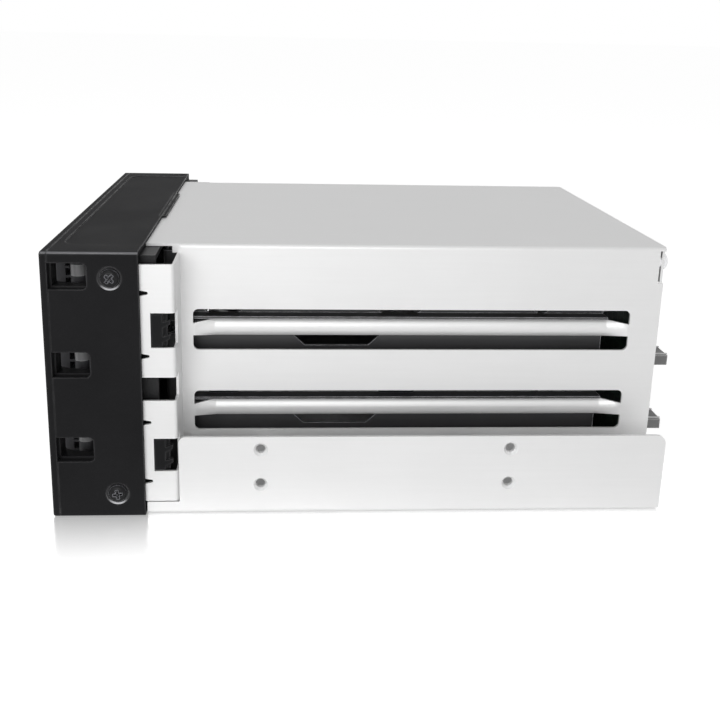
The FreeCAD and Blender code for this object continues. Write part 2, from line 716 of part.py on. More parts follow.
def latch_tongue(body, low):
    """Tongue that reaches back inside the flange and hooks into its window."""
    high = low + " + latch_window_height"
    tongue_out = "(%s + tongue_gauge)" % TONGUE_IN
    start = SLEEVE_BACK + " - tongue_root"
    end = STEP + " - 1.8"
    hook_front = STEP + " - latch_window_depth + 0.2"
    hook_out = FLANGE_HALF + " - 0.2"
    plan = [
        (TONGUE_IN, start),
        (SLEEVE_INNER + " + 0.2", start),
        (SLEEVE_INNER + " + 0.2", SLEEVE_BACK + " - 0.3"),
        (tongue_out, SLEEVE_BACK + " - 0.3"),
        (tongue_out, end),
        (TONGUE_IN, end),
    ]
    tongue = extrude(body, "XY", "tongue_" + low, [("outline", plan)], low + " + 0.4", high + " - 0.4")
    hook = block(body, "hook_" + low, (tongue_out + " - 0.2", hook_out),
                 (hook_front, hook_front + " + 3.4"), (low + " + 0.4", high + " - 0.4"))
    teeth = []
    for middle in (low + " + 3", low + " + 7.6"):
        tooth = [
            (hook_front + " + 3.2", middle + " - 1.4"),
            (hook_front + " + 5.6", middle + " - 0.2"),
            (hook_front + " + 5.6", middle + " + 1.2"),
            (hook_front + " + 3.2", middle + " + 0.4"),
        ]
        teeth.append(("outline", tooth))
    comb = extrude(body, "YZ", "teeth_" + low, teeth, tongue_out + " - 0.2", hook_out)
    return [tongue, hook, comb]


def build_frame():
    """Thin frame that closes the front of the sleeve round the three tray fronts."""
    body = new_body("front_frame")
    bezel_ring(body, "plate", FRONT, FRAME_BACK)
    side = "(%s - frame_lip)" % SLEEVE_INNER
    opening = rectangle(("-" + side, side), ("bezel_wall + frame_lip_level",
                        "bezel_height - bezel_wall - frame_lip_level"))
    extrude(body, "XZ", "opening", [("outline", opening)], FRONT + " - 1", FRAME_BACK + " + 1", cut=True)
    front = -SIZES["body_depth"] / 2
    half = SIZES["bezel_width"] / 2
    tall = SIZES["bezel_height"]

    def outer_front_edge(edge):
        if not all(near(vertex.Point.y, front) for vertex in edge.Vertexes):
            return False
        middle = edge.CenterOfMass
        return abs(middle.x) > half - 0.5 or middle.z < 0.5 or middle.z > tall - 0.5

    round_edges(body, "soft_edge", "frame_depth / 4", outer_front_edge)
    return body


def screw_outline(head_radius, head_height, shank_radius, shank_length):
    """Half section of a pan head screw that points along the sketch's own second axis."""
    return [
        ("0", "0 - (%s)" % shank_length),
        (shank_radius, "0 - (%s)" % shank_length),
        (shank_radius, "0"),
        (head_radius, "0"),
        (head_radius, "(%s) * 0.45" % head_height),
        ("(%s) * 0.72" % head_radius, "(%s) * 0.9" % head_height),
        ("(%s) * 0.4" % head_radius, head_height),
        ("0", head_height),
    ]


def build_screw(label, head_radius, head_height, shank_radius, shank_length, recess=True):
    """Turned screw along its body's Z axis, with a crossed recess in the head."""
    body = new_body(label)
    sketch = new_sketch(body, "XZ", "section", "0")
    outline(sketch, screw_outline(head_radius, head_height, shank_radius, shank_length))
    turned = body.newObject("PartDesign::Revolution", "turned")
    turned.Profile = sketch
    turned.ReferenceAxis = (sketch, ["V_Axis"])
    turned.Angle = 360
    body.Tip = turned
    if recess:
        arm = "(%s) * 0.55" % head_radius
        thin = "screw_recess_width / 2"
        deep = ("(%s) - screw_recess_depth" % head_height, "(%s) + 1" % head_height)
        block(body, "recess_one", ("-(%s)" % arm, arm), ("-(%s)" % thin, thin), deep, cut=True)
        block(body, "recess_two", ("-(%s)" % thin, thin), ("-(%s)" % arm, arm), deep, cut=True)
    return body


def place_copies(label, pattern, spots):
    """Set turned copies of one screw at their places and join them as a group of solids."""
    copies = []
    for number, (spot, direction) in enumerate(spots, start=1):
        copy = doc.addObject("App::Link", "%s_%d" % (label, number))
        copy.LinkedObject = pattern
        copy.LinkTransform = False
        turn = FreeCAD.Rotation(FreeCAD.Vector(0, 0, 1), FreeCAD.Vector(*direction))
        copy.Placement = FreeCAD.Placement(FreeCAD.Vector(0, 0, 0), turn)
        for axis, text in zip("xyz", spot):
            copy.setExpression(".Placement.Base.%s" % axis, formula(text))
        copies.append(copy)
    group = doc.addObject("Part::Compound", label)
    group.Label = label
    group.Links = copies
    return group


def build_board():
    """Circuit board across the rear, with air slots and fixing holes."""
    body = new_body("backplane_board")
    block(body, "board", ("-board_half", "board_half"), (BOARD_FRONT, BOARD_BACK),
          ("board_low", "board_high"))
    spots = board_spots()
    extrude(body, "XZ", "fixing_holes", [("circles", (spots, "screw_hole_radius"))],
            BOARD_FRONT + " - 1", BOARD_BACK + " + 1", cut=True)
    vents = []
    for bay in BAYS:
        low = bay_level(bay) + " + socket_level + socket_height + 4"
        vents.append(("outline", rectangle(("-vent_width / 2 - 2", "vent_width / 2 - 2"),
                                           (low, low + " + vent_height"), "1.5")))
    extrude(body, "XZ", "air_slots", vents, BOARD_FRONT + " - 1", BOARD_BACK + " + 1", cut=True)
    return body


def board_spots():
    """Places of the six board screws in the X and Z plane."""
    spots = []
    for across in ("-" + BOARD_SCREW_X, "0", BOARD_SCREW_X):
        spots.append((across, BOARD_SCREW_HIGH))
        spots.append((across, BOARD_SCREW_LOW))
    return spots


def build_spacers():
    """Round spacers between the board and the two rear lips."""
    body = new_body("board_spacers")
    upper = [spot for spot in board_spots() if spot[1] == BOARD_SCREW_HIGH]
    lower = [spot for spot in board_spots() if spot[1] == BOARD_SCREW_LOW]
    outer = "screw_hole_radius + 0.9"
    extrude(body, "XZ", "upper_spacers", [("circles", (upper, outer))], BOARD_BACK, REAR + " - cover_gauge")
    extrude(body, "XZ", "lower_spacers", [("circles", (lower, outer))], BOARD_BACK, REAR + " - base_gauge")
    extrude(body, "XZ", "bores", [("circles", (board_spots(), "screw_hole_radius"))],
            BOARD_BACK + " - 1", REAR + " + 1", cut=True)
    return body


def build_socket(bay):
    """Blind-mate drive socket on the front of the board, with its two keyed slots."""
    body = new_body("drive_socket_" + bay)
    half = "(socket_width / 2)"
    block(body, "housing", ("-" + half, half), (BOARD_FRONT + " - socket_depth", BOARD_FRONT),
          ("socket_level", "socket_level + socket_height"))
    mouth = (BOARD_FRONT + " - socket_depth - 1", BOARD_FRONT + " - 1.2")
    level = ("socket_level + socket_height / 2 - 0.9", "socket_level + socket_height / 2 + 0.9")
    wide_slot = ("-%s + 1.5" % half, "socket_width * 0.08")
    short_slot = ("socket_width * 0.08 + 2", half + " - 1.5")
    block(body, "power_slot", wide_slot, mouth, level, cut=True)
    block(body, "data_slot", short_slot, mouth, level, cut=True)
    for name, slot in (("power_key", wide_slot), ("data_key", short_slot)):
        key = (slot[0], slot[0] + " + 1.3")
        block(body, name, key, mouth, (level[0] + " - 1.2", level[1]), cut=True)
    place(body, z=bay_level(bay))
    return body


def build_power_plug(bay):
    """Rear power plug: a stepped housing with a blade slot and a side notch."""
    body = new_body("power_plug_" + bay)
    level = "power_plug_%s_level" % bay
    top = level + " + plug_height"
    across = ("plug_side - plug_width", "plug_side")
    end = BOARD_BACK + " + plug_reach"
    block(body, "housing", across, (BOARD_BACK, end + " - 5"), (level, top))
    block(body, "nose", (across[0] + " + 0.6", across[1] + " - 0.6"), (end + " - 5.2", end),
          (level + " + 0.5", top + " - 0.5"))
    block(body, "blade_slot", (across[0] + " + 2", across[1] + " - 2"), (end + " - 7", end + " + 1"),
          (level + " + 1.5", top + " - 1.7"), cut=True)
    block(body, "key_slot", (across[1] + " - 3.2", across[1] + " - 2"), (end + " - 7", end + " + 1"),
          (level + " + 1", top + " - 1.7"), cut=True)
    block(body, "side_notch", (across[1] + " - 1.4", across[1] + " + 1"), (BOARD_BACK + " + 3", end + " - 8"),
          (level + " + 1.2", top + " - 1.2"), cut=True)
    block(body, "top_step", (across[0] + " - 1", across[1] + " + 1"), (end + " - 10", end + " - 8.6"),
          (top + " - 0.5", top + " + 1"), cut=True)
    return body


def build_data_plug(bay):
    """Rear data plug with a keyed blade slot."""
    body = new_body("data_plug_" + bay)
    across = ("data_plug_side - data_plug_width", "data_plug_side")
    level = ("data_plug_level", "data_plug_level + data_plug_height")
    end = BOARD_BACK + " + data_plug_reach"
    block(body, "housing", across, (BOARD_BACK, end), level)
    block(body, "mouth", (across[0] + " + 1.4", across[1] + " - 1.4"), (end + " - 6", end + " + 1"),
          (level[0] + " + 1.2", level[1] + " - 1.2"), cut=True)
    block(body, "blade", (across[0] + " + 2.4", across[1] + " - 2.4"), (end + " - 6.2", end + " - 0.6"),
          ("data_plug_level + data_plug_height / 2 - 0.5", "data_plug_level + data_plug_height / 2 + 0.5"))
    place(body, z=bay_level(bay))
    return body


def build_tray_frame(bay):
    """Bent steel drive frame: two side rails, their runners and a cross wall at the front."""
    body = new_body("tray_frame_" + bay)
    bend = "(rail_gauge + bend_radius)"
    plan = [
        ("-" + RAIL_OUTER, "rail_rear"),
        ("-" + RAIL_OUTER, NECK_BACK, bend),
        (RAIL_OUTER, NECK_BACK, bend),
        (RAIL_OUTER, "rail_rear"),
        ("rail_inner", "rail_rear"),
        ("rail_inner", NECK_BACK + " + rail_gauge", "bend_radius"),
        ("-rail_inner", NECK_BACK + " + rail_gauge", "bend_radius"),
        ("-rail_inner", "rail_rear"),
    ]
    extrude(body, "XY", "rails", [("outline", plan)], "rail_low", "rail_high")
    runner = block(body, "runner", (RAIL_OUTER + " - rail_gauge / 2", "runner_side"),
                   (NECK_BACK + " + runner_lead", "rail_rear"),
                   ("rib_half + runner_clear", "rib_half + runner_clear + rail_gauge"))
    mirror(body, "other_runner", [runner])
    radius = "window_radius"
    height = (HOLE_LEVEL + " - window_radius", HOLE_LEVEL + " + window_radius")
    corner = "window_radius * 0.99"
    rear = "(drive_rear - 26.5)"
    middle = "(drive_rear - 73.6)"
    front = "(drive_rear - 130.1)"
    windows = [
        ("circles", ([(rear, HOLE_LEVEL)], radius)),
        ("outline", rectangle((middle + " - 8.2", middle + " + 8.2"), height, corner)),
        ("outline", rectangle((front + " - 8.2", front + " + 6"), height, corner)),
    ]
    across = ("-%s - 1" % RAIL_OUTER, RAIL_OUTER + " + 1")
    extrude(body, "YZ", "screw_windows", windows, across[0], across[1], cut=True)
    dip = [
        (middle + " - 36.4", "rail_high + 1"),
        (middle + " - 31", "rail_high - 4"),
        (middle + " - 10", "rail_high - 4"),
        (middle + " - 4.6", "rail_high + 1"),
    ]
    extrude(body, "YZ", "top_dip", [("outline", dip)], across[0], across[1], cut=True)
    clip_x = ("-pipe_side - 1.5", "-%s + rail_gauge / 2" % RAIL_OUTER)
    block(body, "pipe_clip", clip_x, ("clip_level", "clip_level + 2"),
          ("pipe_level_low - 1.8", "pipe_level_high + 1.8"))
    pipes = [("-pipe_side", "pipe_level_low"), ("-pipe_side", "pipe_level_high")]
    extrude(body, "XZ", "pipe_holes", [("circles", (pipes, "pipe_radius + pipe_clear"))],
            "clip_level - 1", "clip_level + 3", cut=True)
    extrude(body, "XZ", "wall_holes", [("circles", (post_spots(), "tray_screw_radius + 0.1"))],
            NECK_BACK + " - 1", NECK_BACK + " + rail_gauge + 1", cut=True)
    block(body, "air_opening", ("-post_side + 8", "post_side - 8"),
          (NECK_BACK + " - 1", NECK_BACK + " + rail_gauge + 1"), ("rail_low + 4", "rail_high - 4"), cut=True)
    place(body, z=bay_level(bay))
    return body


def post_spots():
    """Places of the four screw posts of a tray front in the X and Z plane."""
    return [(side + "post_side", level) for side in ("-", "") for level in ("post_low", "post_high")]


def build_tray_front(bay):
    """Moulded front block: face, lever pocket, hinge bore, button hole and screw posts."""
    body = new_body("tray_front_" + bay)
    tall = ("front_low", FRONT_TOP)
    inside = ("front_low + front_wall", FRONT_TOP + " - front_wall")
    cavity_half = "(%s - front_side_wall)" % NECK_HALF
    block(body, "face_block", ("-" + FRONT_HALF, FRONT_HALF), (FACE, WIDE_BACK), tall)
    block(body, "neck", ("-" + NECK_HALF, NECK_HALF), (WIDE_BACK + " - 1", NECK_BACK), tall)
    block(body, "rear_hollow", ("-" + cavity_half, cavity_half), (WALL_BACK, NECK_BACK + " + 1"),
          inside, cut=True)
    block(body, "lever_pocket", ("-lever_free - knuckle_clear", "hinge_side"), (FACE + " - 1", POCKET_BACK),
          inside, cut=True)
    hinge = [("hinge_side", HINGE_Y)]
    extrude(body, "XY", "knuckle_bore", [("circles", (hinge, KNUCKLE + " + knuckle_clear"))],
            inside[0], inside[1], cut=True)
    block(body, "hinge_relief", ("hinge_side - 1", "hinge_side + hinge_relief_width"),
          (FACE + " - 1", FACE + " + hinge_relief_depth"), inside, cut=True)
    window_y = (FRAME_BACK + " + 0.5", FRAME_BACK + " + side_window_depth - 0.8")
    window_z = ("side_window_low + 0.3", "side_window_low + side_window_height - 0.3")
    extrude(body, "YZ", "side_window", [("outline", rectangle(window_y, window_z))],
            "hinge_side + 2", FRONT_HALF + " + 1", cut=True)
    tongue_x = ("-lever_free + 1", "-lever_free + 10")
    block(body, "tongue_window", tongue_x, (POCKET_BACK + " - 1", WALL_BACK + " + 1"),
          (MIDDLE + " - catch_half - 0.6", MIDDLE + " + catch_half + 0.6"), cut=True)
    slot = block(body, "air_window", ("-lever_free + 13", "-lever_free + 25"),
                 (POCKET_BACK + " - 1", WALL_BACK + " + 1"), (MIDDLE + " - 7", MIDDLE + " + 7"), cut=True)
    repeat(body, "air_windows", [slot], "X_Axis", "16", 5)
    half_width = "(button_width / 2 + lever_clear)"
    block(body, "button_hole", ("-button_side - " + half_width, "-button_side + " + half_width),
          (FACE + " - 1", WALL_BACK + " + 1"),
          (MIDDLE + " - button_height / 2 - lever_clear", MIDDLE + " + button_height / 2 + lever_clear"),
          cut=True)
    pipes = [("-pipe_side", "pipe_level_low"), ("-pipe_side", "pipe_level_high")]
    extrude(body, "XZ", "pipe_holes", [("circles", (pipes, "pipe_radius + pipe_clear"))],
            FACE + " - 1", WALL_BACK + " + 1", cut=True)
    extrude(body, "XZ", "screw_posts", [("circles", (post_spots(), "post_radius"))],
            WALL_BACK + " - 0.5", NECK_BACK)
    extrude(body, "XZ", "post_holes", [("circles", (post_spots(), "post_hole_radius"))],
            NECK_BACK + " - tray_screw_length", NECK_BACK + " + 1", cut=True)
    block(body, "spring_seat", ("-%s - 0.5" % cavity_half, "-button_side + 4"),
          (SEAT, SEAT + " + seat_gauge"), (inside[0] + " - 0.5", MIDDLE + " + 4"))
    extrude(body, "XY", "pin_holes", [("circles", (hinge, "pin_radius + pin_clear"))],
            "front_low - 1", FRONT_TOP + " + 1", cut=True)
    place(body, z=bay_level(bay))
    return body


def quarter_disc(sketch):
    """Draw the quarter of the knuckle between the lever's plate and its pin."""
    centre = (value(sketch, "hinge_side"), value(sketch, HINGE_Y))
    radius = value(sketch, KNUCKLE)
    circle = Part.Circle(FreeCAD.Vector(centre[0], centre[1], 0), FreeCAD.Vector(0, 0, 1), radius)
    arc = sketch.addGeometry(Part.ArcOfCircle(circle, math.pi, 1.5 * math.pi), False)
    left = ("hinge_side - " + KNUCKLE, HINGE_Y)
    front = ("hinge_side", HINGE_Y + " - " + KNUCKLE)
    pin_point(sketch, arc, 1, left[0], left[1])
    pin_point(sketch, arc, 2, front[0], front[1])
    number = sketch.addConstraint(Sketcher.Constraint("Radius", arc, radius))
    sketch.setExpression("Constraints[%d]" % number, formula(KNUCKLE))
    for start, end in ((front, ("hinge_side", HINGE_Y)), (("hinge_side", HINGE_Y), left)):
        first = (value(sketch, start[0]), value(sketch, start[1]))
        last = (value(sketch, end[0]), value(sketch, end[1]))
        edge = sketch.addGeometry(line_between(first, last), False)
        pin_point(sketch, edge, 1, start[0], start[1])
        pin_point(sketch, edge, 2, end[0], end[1])


def build_lever(bay):
    """Front lever: slotted plate, ribbed knuckle round the hinge pin and a catch tongue."""
    body = new_body("tray_lever_" + bay)
    tall = (LEVER_LOW, LEVER_HIGH)
    block(body, "plate", ("-lever_free", "hinge_side"), (LEVER_FACE, LEVER_BACK), tall)
    block(body, "back_recess", ("-lever_free + lever_slot_margin", "hinge_side - %s - 2" % KNUCKLE),
          (LEVER_FACE + " + lever_field", LEVER_BACK + " + 1"),
          (LEVER_LOW + " + 2.2", LEVER_HIGH + " - 2.2"), cut=True)
    slot_x = "(-lever_free + lever_slot_margin * 2 + 3)"
    slot = block(body, "air_slot", (slot_x, slot_x + " + lever_slot_width"),
                 (LEVER_FACE + " - 1", LEVER_FACE + " + lever_field + 1"),
                 (LEVER_LOW + " + lever_slot_margin", LEVER_HIGH + " - lever_slot_margin"), cut=True)
    repeat(body, "air_slots", [slot], "X_Axis", "vent_pitch", 18)
    rib_sketch = new_sketch(body, "XY", "hinge_rib_sketch", "hinge_rib_first")
    quarter_disc(rib_sketch)
    rib = body.newObject("PartDesign::Pad", "hinge_rib")
    rib.Profile = rib_sketch
    rib.setExpression("Length", formula("rib_gauge"))
    body.Tip = rib
    repeat(body, "hinge_ribs", [rib], "Z_Axis", "hinge_rib_pitch", 7)
    hinge = [("hinge_side", HINGE_Y)]
    extrude(body, "XY", "boss_low", [("circles", (hinge, "boss_radius"))], LEVER_LOW, "boss_split_low")
    extrude(body, "XY", "boss_high", [("circles", (hinge, "boss_radius"))], "boss_split_high", LEVER_HIGH)
    block(body, "spring_gap", ("hinge_side - boss_radius - lever_clear", "hinge_side + 4"),
          (HINGE_Y + " - boss_radius - lever_clear", HINGE_Y + " + 4"),
          ("boss_split_low", "boss_split_high"), cut=True)
    extrude(body, "XY", "pin_bore", [("circles", (hinge, "pin_radius + pin_clear"))],
            LEVER_LOW + " - 1", LEVER_HIGH + " + 1", cut=True)
    block(body, "catch_tongue", ("-lever_free + 2.5", "-lever_free + 8.5"),
          (LEVER_FACE + " + lever_field - 0.2", LEVER_BACK + " + lever_tongue_reach"),
          (MIDDLE + " - catch_half", MIDDLE + " + catch_half"))
    place(body, z=bay_level(bay))
    return body


def build_pin(bay):
    """Straight hinge pin of one lever."""
    pin = doc.addObject("Part::Cylinder", "lever_pin_" + bay)
    pin.Label = "lever_pin_" + bay
    pin.setExpression("Radius", formula("pin_radius"))
    pin.setExpression("Height", formula("front_height - lever_clear"))
    pin.setExpression(".Placement.Base.x", formula("hinge_side"))
    pin.setExpression(".Placement.Base.y", formula(HINGE_Y))
    pin.setExpression(".Placement.Base.z", formula(bay_level(bay) + " + front_low + lever_clear / 2"))
    return pin


def coil(label, plane, inner, length, turns):
    """Square-wire coil spring along the sketch plane's second axis, from the body's origin."""
    body = new_body(label)
    sketch = new_sketch(body, plane, "wire", "0")
    outline(sketch, rectangle((inner, inner + " + spring_wire"), ("0", "spring_wire")))
    spring = body.newObject("PartDesign::AdditiveHelix", "helix")
    spring.Profile = sketch
    spring.ReferenceAxis = (sketch, ["V_Axis"])
    spring.Mode = "height-turns-growth"
    spring.setExpression("Height", formula("%s - spring_wire" % length))
    spring.setExpression("Turns", formula(turns))
    body.Tip = spring
    return body


def build_lever_spring(bay):
    """Coil between the lever's two bosses, round the hinge pin."""
    gap = "(boss_split_high - boss_split_low - lever_clear * 2)"
    body = coil("lever_spring_" + bay, "XZ", "pin_radius + coil_clear", gap, "lever_spring_turns")
    place(body, "hinge_side", HINGE_Y, bay_level(bay) + " + boss_split_low + lever_clear")
    return body


def build_button(bay):
    """Push button with a retaining flange and a spring peg."""
    body = new_body("release_button_" + bay)
    half = "(button_width / 2)"
    cap_z = (MIDDLE + " - button_height / 2", MIDDLE + " + button_height / 2")
    block(body, "cap", ("-button_side - " + half, "-button_side + " + half),
          (FACE + " - button_proud", WALL_BACK + " + lever_clear + 0.2"), cap_z)
    block(body, "flange", ("-button_side - " + half, "-button_side + " + half),
          (WALL_BACK + " + lever_clear", BUTTON_BACK),
          (cap_z[0] + " - button_flange", cap_z[1] + " + button_flange"))
    extrude(body, "XZ", "spring_peg", [("circles", ([("-button_side", MIDDLE)], "peg_radius"))],
            BUTTON_BACK + " - 0.2", BUTTON_BACK + " + button_spring_length / 2")
    face = SIZES["face_recess"] - SIZES["body_depth"] / 2 - SIZES["button_proud"]
    round_edges(body, "soft_cap", "0.5", lambda edge: all(near(v.Point.y, face) for v in edge.Vertexes))
    place(body, z=bay_level(bay))
    return body


def build_button_spring(bay):
    """Coil behind the button, on its peg."""
    body = coil("button_spring_" + bay, "XY", "peg_radius + coil_clear", "button_spring_length",
                "button_spring_turns")
    place(body, "-button_side", BUTTON_BACK, bay_level(bay) + " + " + MIDDLE)
    return body


def build_pipes(bay):
    """Two clear light guides that run from the face to the rear end of the tray."""
    body = new_body("light_pipes_" + bay)
    pipes = [("-pipe_side", "pipe_level_low"), ("-pipe_side", "pipe_level_high")]
    extrude(body, "XZ", "guides", [("circles", (pipes, "pipe_radius"))], FACE, "rail_rear")
    place(body, z=bay_level(bay))
    return body


def build_all():
    """Build every sub-part and give them in the order of their files."""
    pieces = [build_cover(), build_base(), build_sleeve(), build_frame(), build_board(), build_spacers()]
    plain_screw = build_screw("screw_pattern", "screw_head_radius", "screw_head_height", "screw_radius",
                              "screw_length")
    short_screw = build_screw("short_screw_pattern", "screw_head_radius", "screw_head_height", "screw_radius",
                              "bezel_screw_length")
    rivet = build_screw("rivet_pattern", "rivet_head_radius", "rivet_head_height", "rivet_radius",
                        "base_gauge + cover_gauge", recess=False)
    tray_screw = build_screw("tray_screw_pattern", "tray_screw_head", "screw_head_height",
                             "tray_screw_radius", "tray_screw_length")
    hole_y = FRONT + " + bezel_screw_inset"
    seat = "(%s - bezel_screw_recess)" % BEZEL_HALF
    bezel_spots = []
    for side, direction in (("-" + seat, (-1, 0, 0)), (seat, (1, 0, 0))):
        for level in ("bezel_screw_edge", "bezel_height - bezel_screw_edge"):
            bezel_spots.append(((side, hole_y, level), direction))
    pieces.append(place_copies("bezel_screws", short_screw, bezel_spots))
    rear_spots = [((x, REAR, z), (0, 1, 0)) for x, z in board_spots()]
    pieces.append(place_copies("rear_screws", plain_screw, rear_spots))
    rivet_spots = []
    for side in ("-", ""):
        across = "%s(cover_width / 2 + foot_lip / 2)" % side
        for along in ("%s + foot_margin * 2" % STEP, "%s - foot_margin * 2" % REAR):
            rivet_spots.append(((across, along, "base_gauge + cover_gauge"), (0, 0, 1)))
    pieces.append(place_copies("base_rivets", rivet, rivet_spots))
    for bay in BAYS:
        pieces.append(build_socket(bay))
        pieces.append(build_data_plug(bay))
    for bay in ("lower", "upper"):
        pieces.append(build_power_plug(bay))
    for bay in BAYS:
        pieces.append(build_tray_frame(bay))
        pieces.append(build_tray_front(bay))
        pieces.append(build_lever(bay))
        pieces.append(build_pin(bay))
        pieces.append(build_lever_spring(bay))
        pieces.append(build_button(bay))
        pieces.append(build_button_spring(bay))
        pieces.append(build_pipes(bay))
        tray_spots = []
        for across, level in post_spots():
            spot = (across, NECK_BACK + " + rail_gauge", "%s + %s" % (bay_level(bay), level))
            tray_spots.append((spot, (0, 1, 0)))
        pieces.append(place_copies("tray_screws_" + bay, tray_screw, tray_spots))
    return pieces


pieces = build_all()
doc.recompute()
for item in doc.Objects:
    if "Invalid" in item.State or "Error" in item.State:
        raise RuntimeError("%s failed: %s" % (item.Name, item.State))
for piece in pieces:
    if piece.Shape.isNull() or not piece.Shape.isValid():
        raise RuntimeError("%s has no valid shape" % piece.Label)
os.makedirs("parts", exist_ok=True)
for piece in pieces:
    piece.Shape.exportStep("parts/%s.step" % piece.Label)
    print(piece.Label, len(piece.Shape.Solids), round(piece.Shape.Volume, 1))
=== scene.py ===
import json
import logging
import math
from dataclasses import dataclass, field
from enum import Enum
from typing import Callable

import bmesh
import bpy
from mathutils import Matrix, Vector

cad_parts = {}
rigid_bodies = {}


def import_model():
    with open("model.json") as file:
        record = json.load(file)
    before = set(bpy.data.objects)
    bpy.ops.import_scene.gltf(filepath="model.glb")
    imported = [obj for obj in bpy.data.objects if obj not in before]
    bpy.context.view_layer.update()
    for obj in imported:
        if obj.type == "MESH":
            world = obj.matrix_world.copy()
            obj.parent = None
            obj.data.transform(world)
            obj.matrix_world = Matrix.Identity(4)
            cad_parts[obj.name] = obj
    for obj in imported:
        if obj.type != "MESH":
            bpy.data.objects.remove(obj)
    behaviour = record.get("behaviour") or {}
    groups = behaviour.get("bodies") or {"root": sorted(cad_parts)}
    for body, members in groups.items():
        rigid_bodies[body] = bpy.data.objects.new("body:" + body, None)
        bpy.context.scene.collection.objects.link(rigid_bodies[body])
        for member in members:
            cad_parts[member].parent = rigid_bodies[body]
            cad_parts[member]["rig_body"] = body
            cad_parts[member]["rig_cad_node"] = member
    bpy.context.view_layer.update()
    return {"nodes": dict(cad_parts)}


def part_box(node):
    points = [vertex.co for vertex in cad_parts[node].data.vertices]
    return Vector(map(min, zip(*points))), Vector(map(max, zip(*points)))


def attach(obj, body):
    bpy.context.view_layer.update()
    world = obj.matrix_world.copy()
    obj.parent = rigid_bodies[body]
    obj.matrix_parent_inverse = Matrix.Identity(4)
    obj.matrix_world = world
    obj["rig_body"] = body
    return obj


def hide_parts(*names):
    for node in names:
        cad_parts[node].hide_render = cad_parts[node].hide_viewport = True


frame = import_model()

logging.basicConfig(level=logging.INFO, format="%(name)s: %(message)s")
log = logging.getLogger("drive_cage")

Point = tuple[float, float, float]
Colour = tuple[float, float, float]
Span = tuple[float, float]
Node = bpy.types.Node
Socket = bpy.types.NodeSocket
Piece = bpy.types.Object
Sockets = dict[str, tuple[str, float]]
Values = dict[str | int, object]
BAYS = ("lower", "middle", "upper")
LOWEST_FLOOR = 1.15
BAY_PITCH = 27.6
BAY_FLOOR = {bay: LOWEST_FLOOR + number * BAY_PITCH for number, bay in enumerate(BAYS)}
BOARD_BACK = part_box("backplane_board")[1][1] * 1000.0
SLEEVE_BACK = -68.4
BEZEL_SCREW_DEPTH = -76.8
BEZEL_SCREW_LEVELS = (8.0, 77.6)
WHITE = (1.0, 1.0, 1.0, 1.0)
NODE_SPACING = 190.0
MERGE_DISTANCE = 0.000002
FLAT_ANGLE = 0.4


class Slot(Enum):
    """Names of the record's material slots, passed along with the pieces made here."""

    ZINC = "zinc_steel"
    BRIGHT = "bright_steel"
    BLACK = "black_plastic"
    LEVER = "lever_plastic"
    BUTTON = "button_plastic"
    SCREW = "black_screw"
    GREY = "grey_connector"
    DARK = "dark_connector"


def metres(point: Point) -> Vector:
    """Turn millimetres into a vector in metres."""
    return Vector(point) / 1000.0


# Nodes of the materials


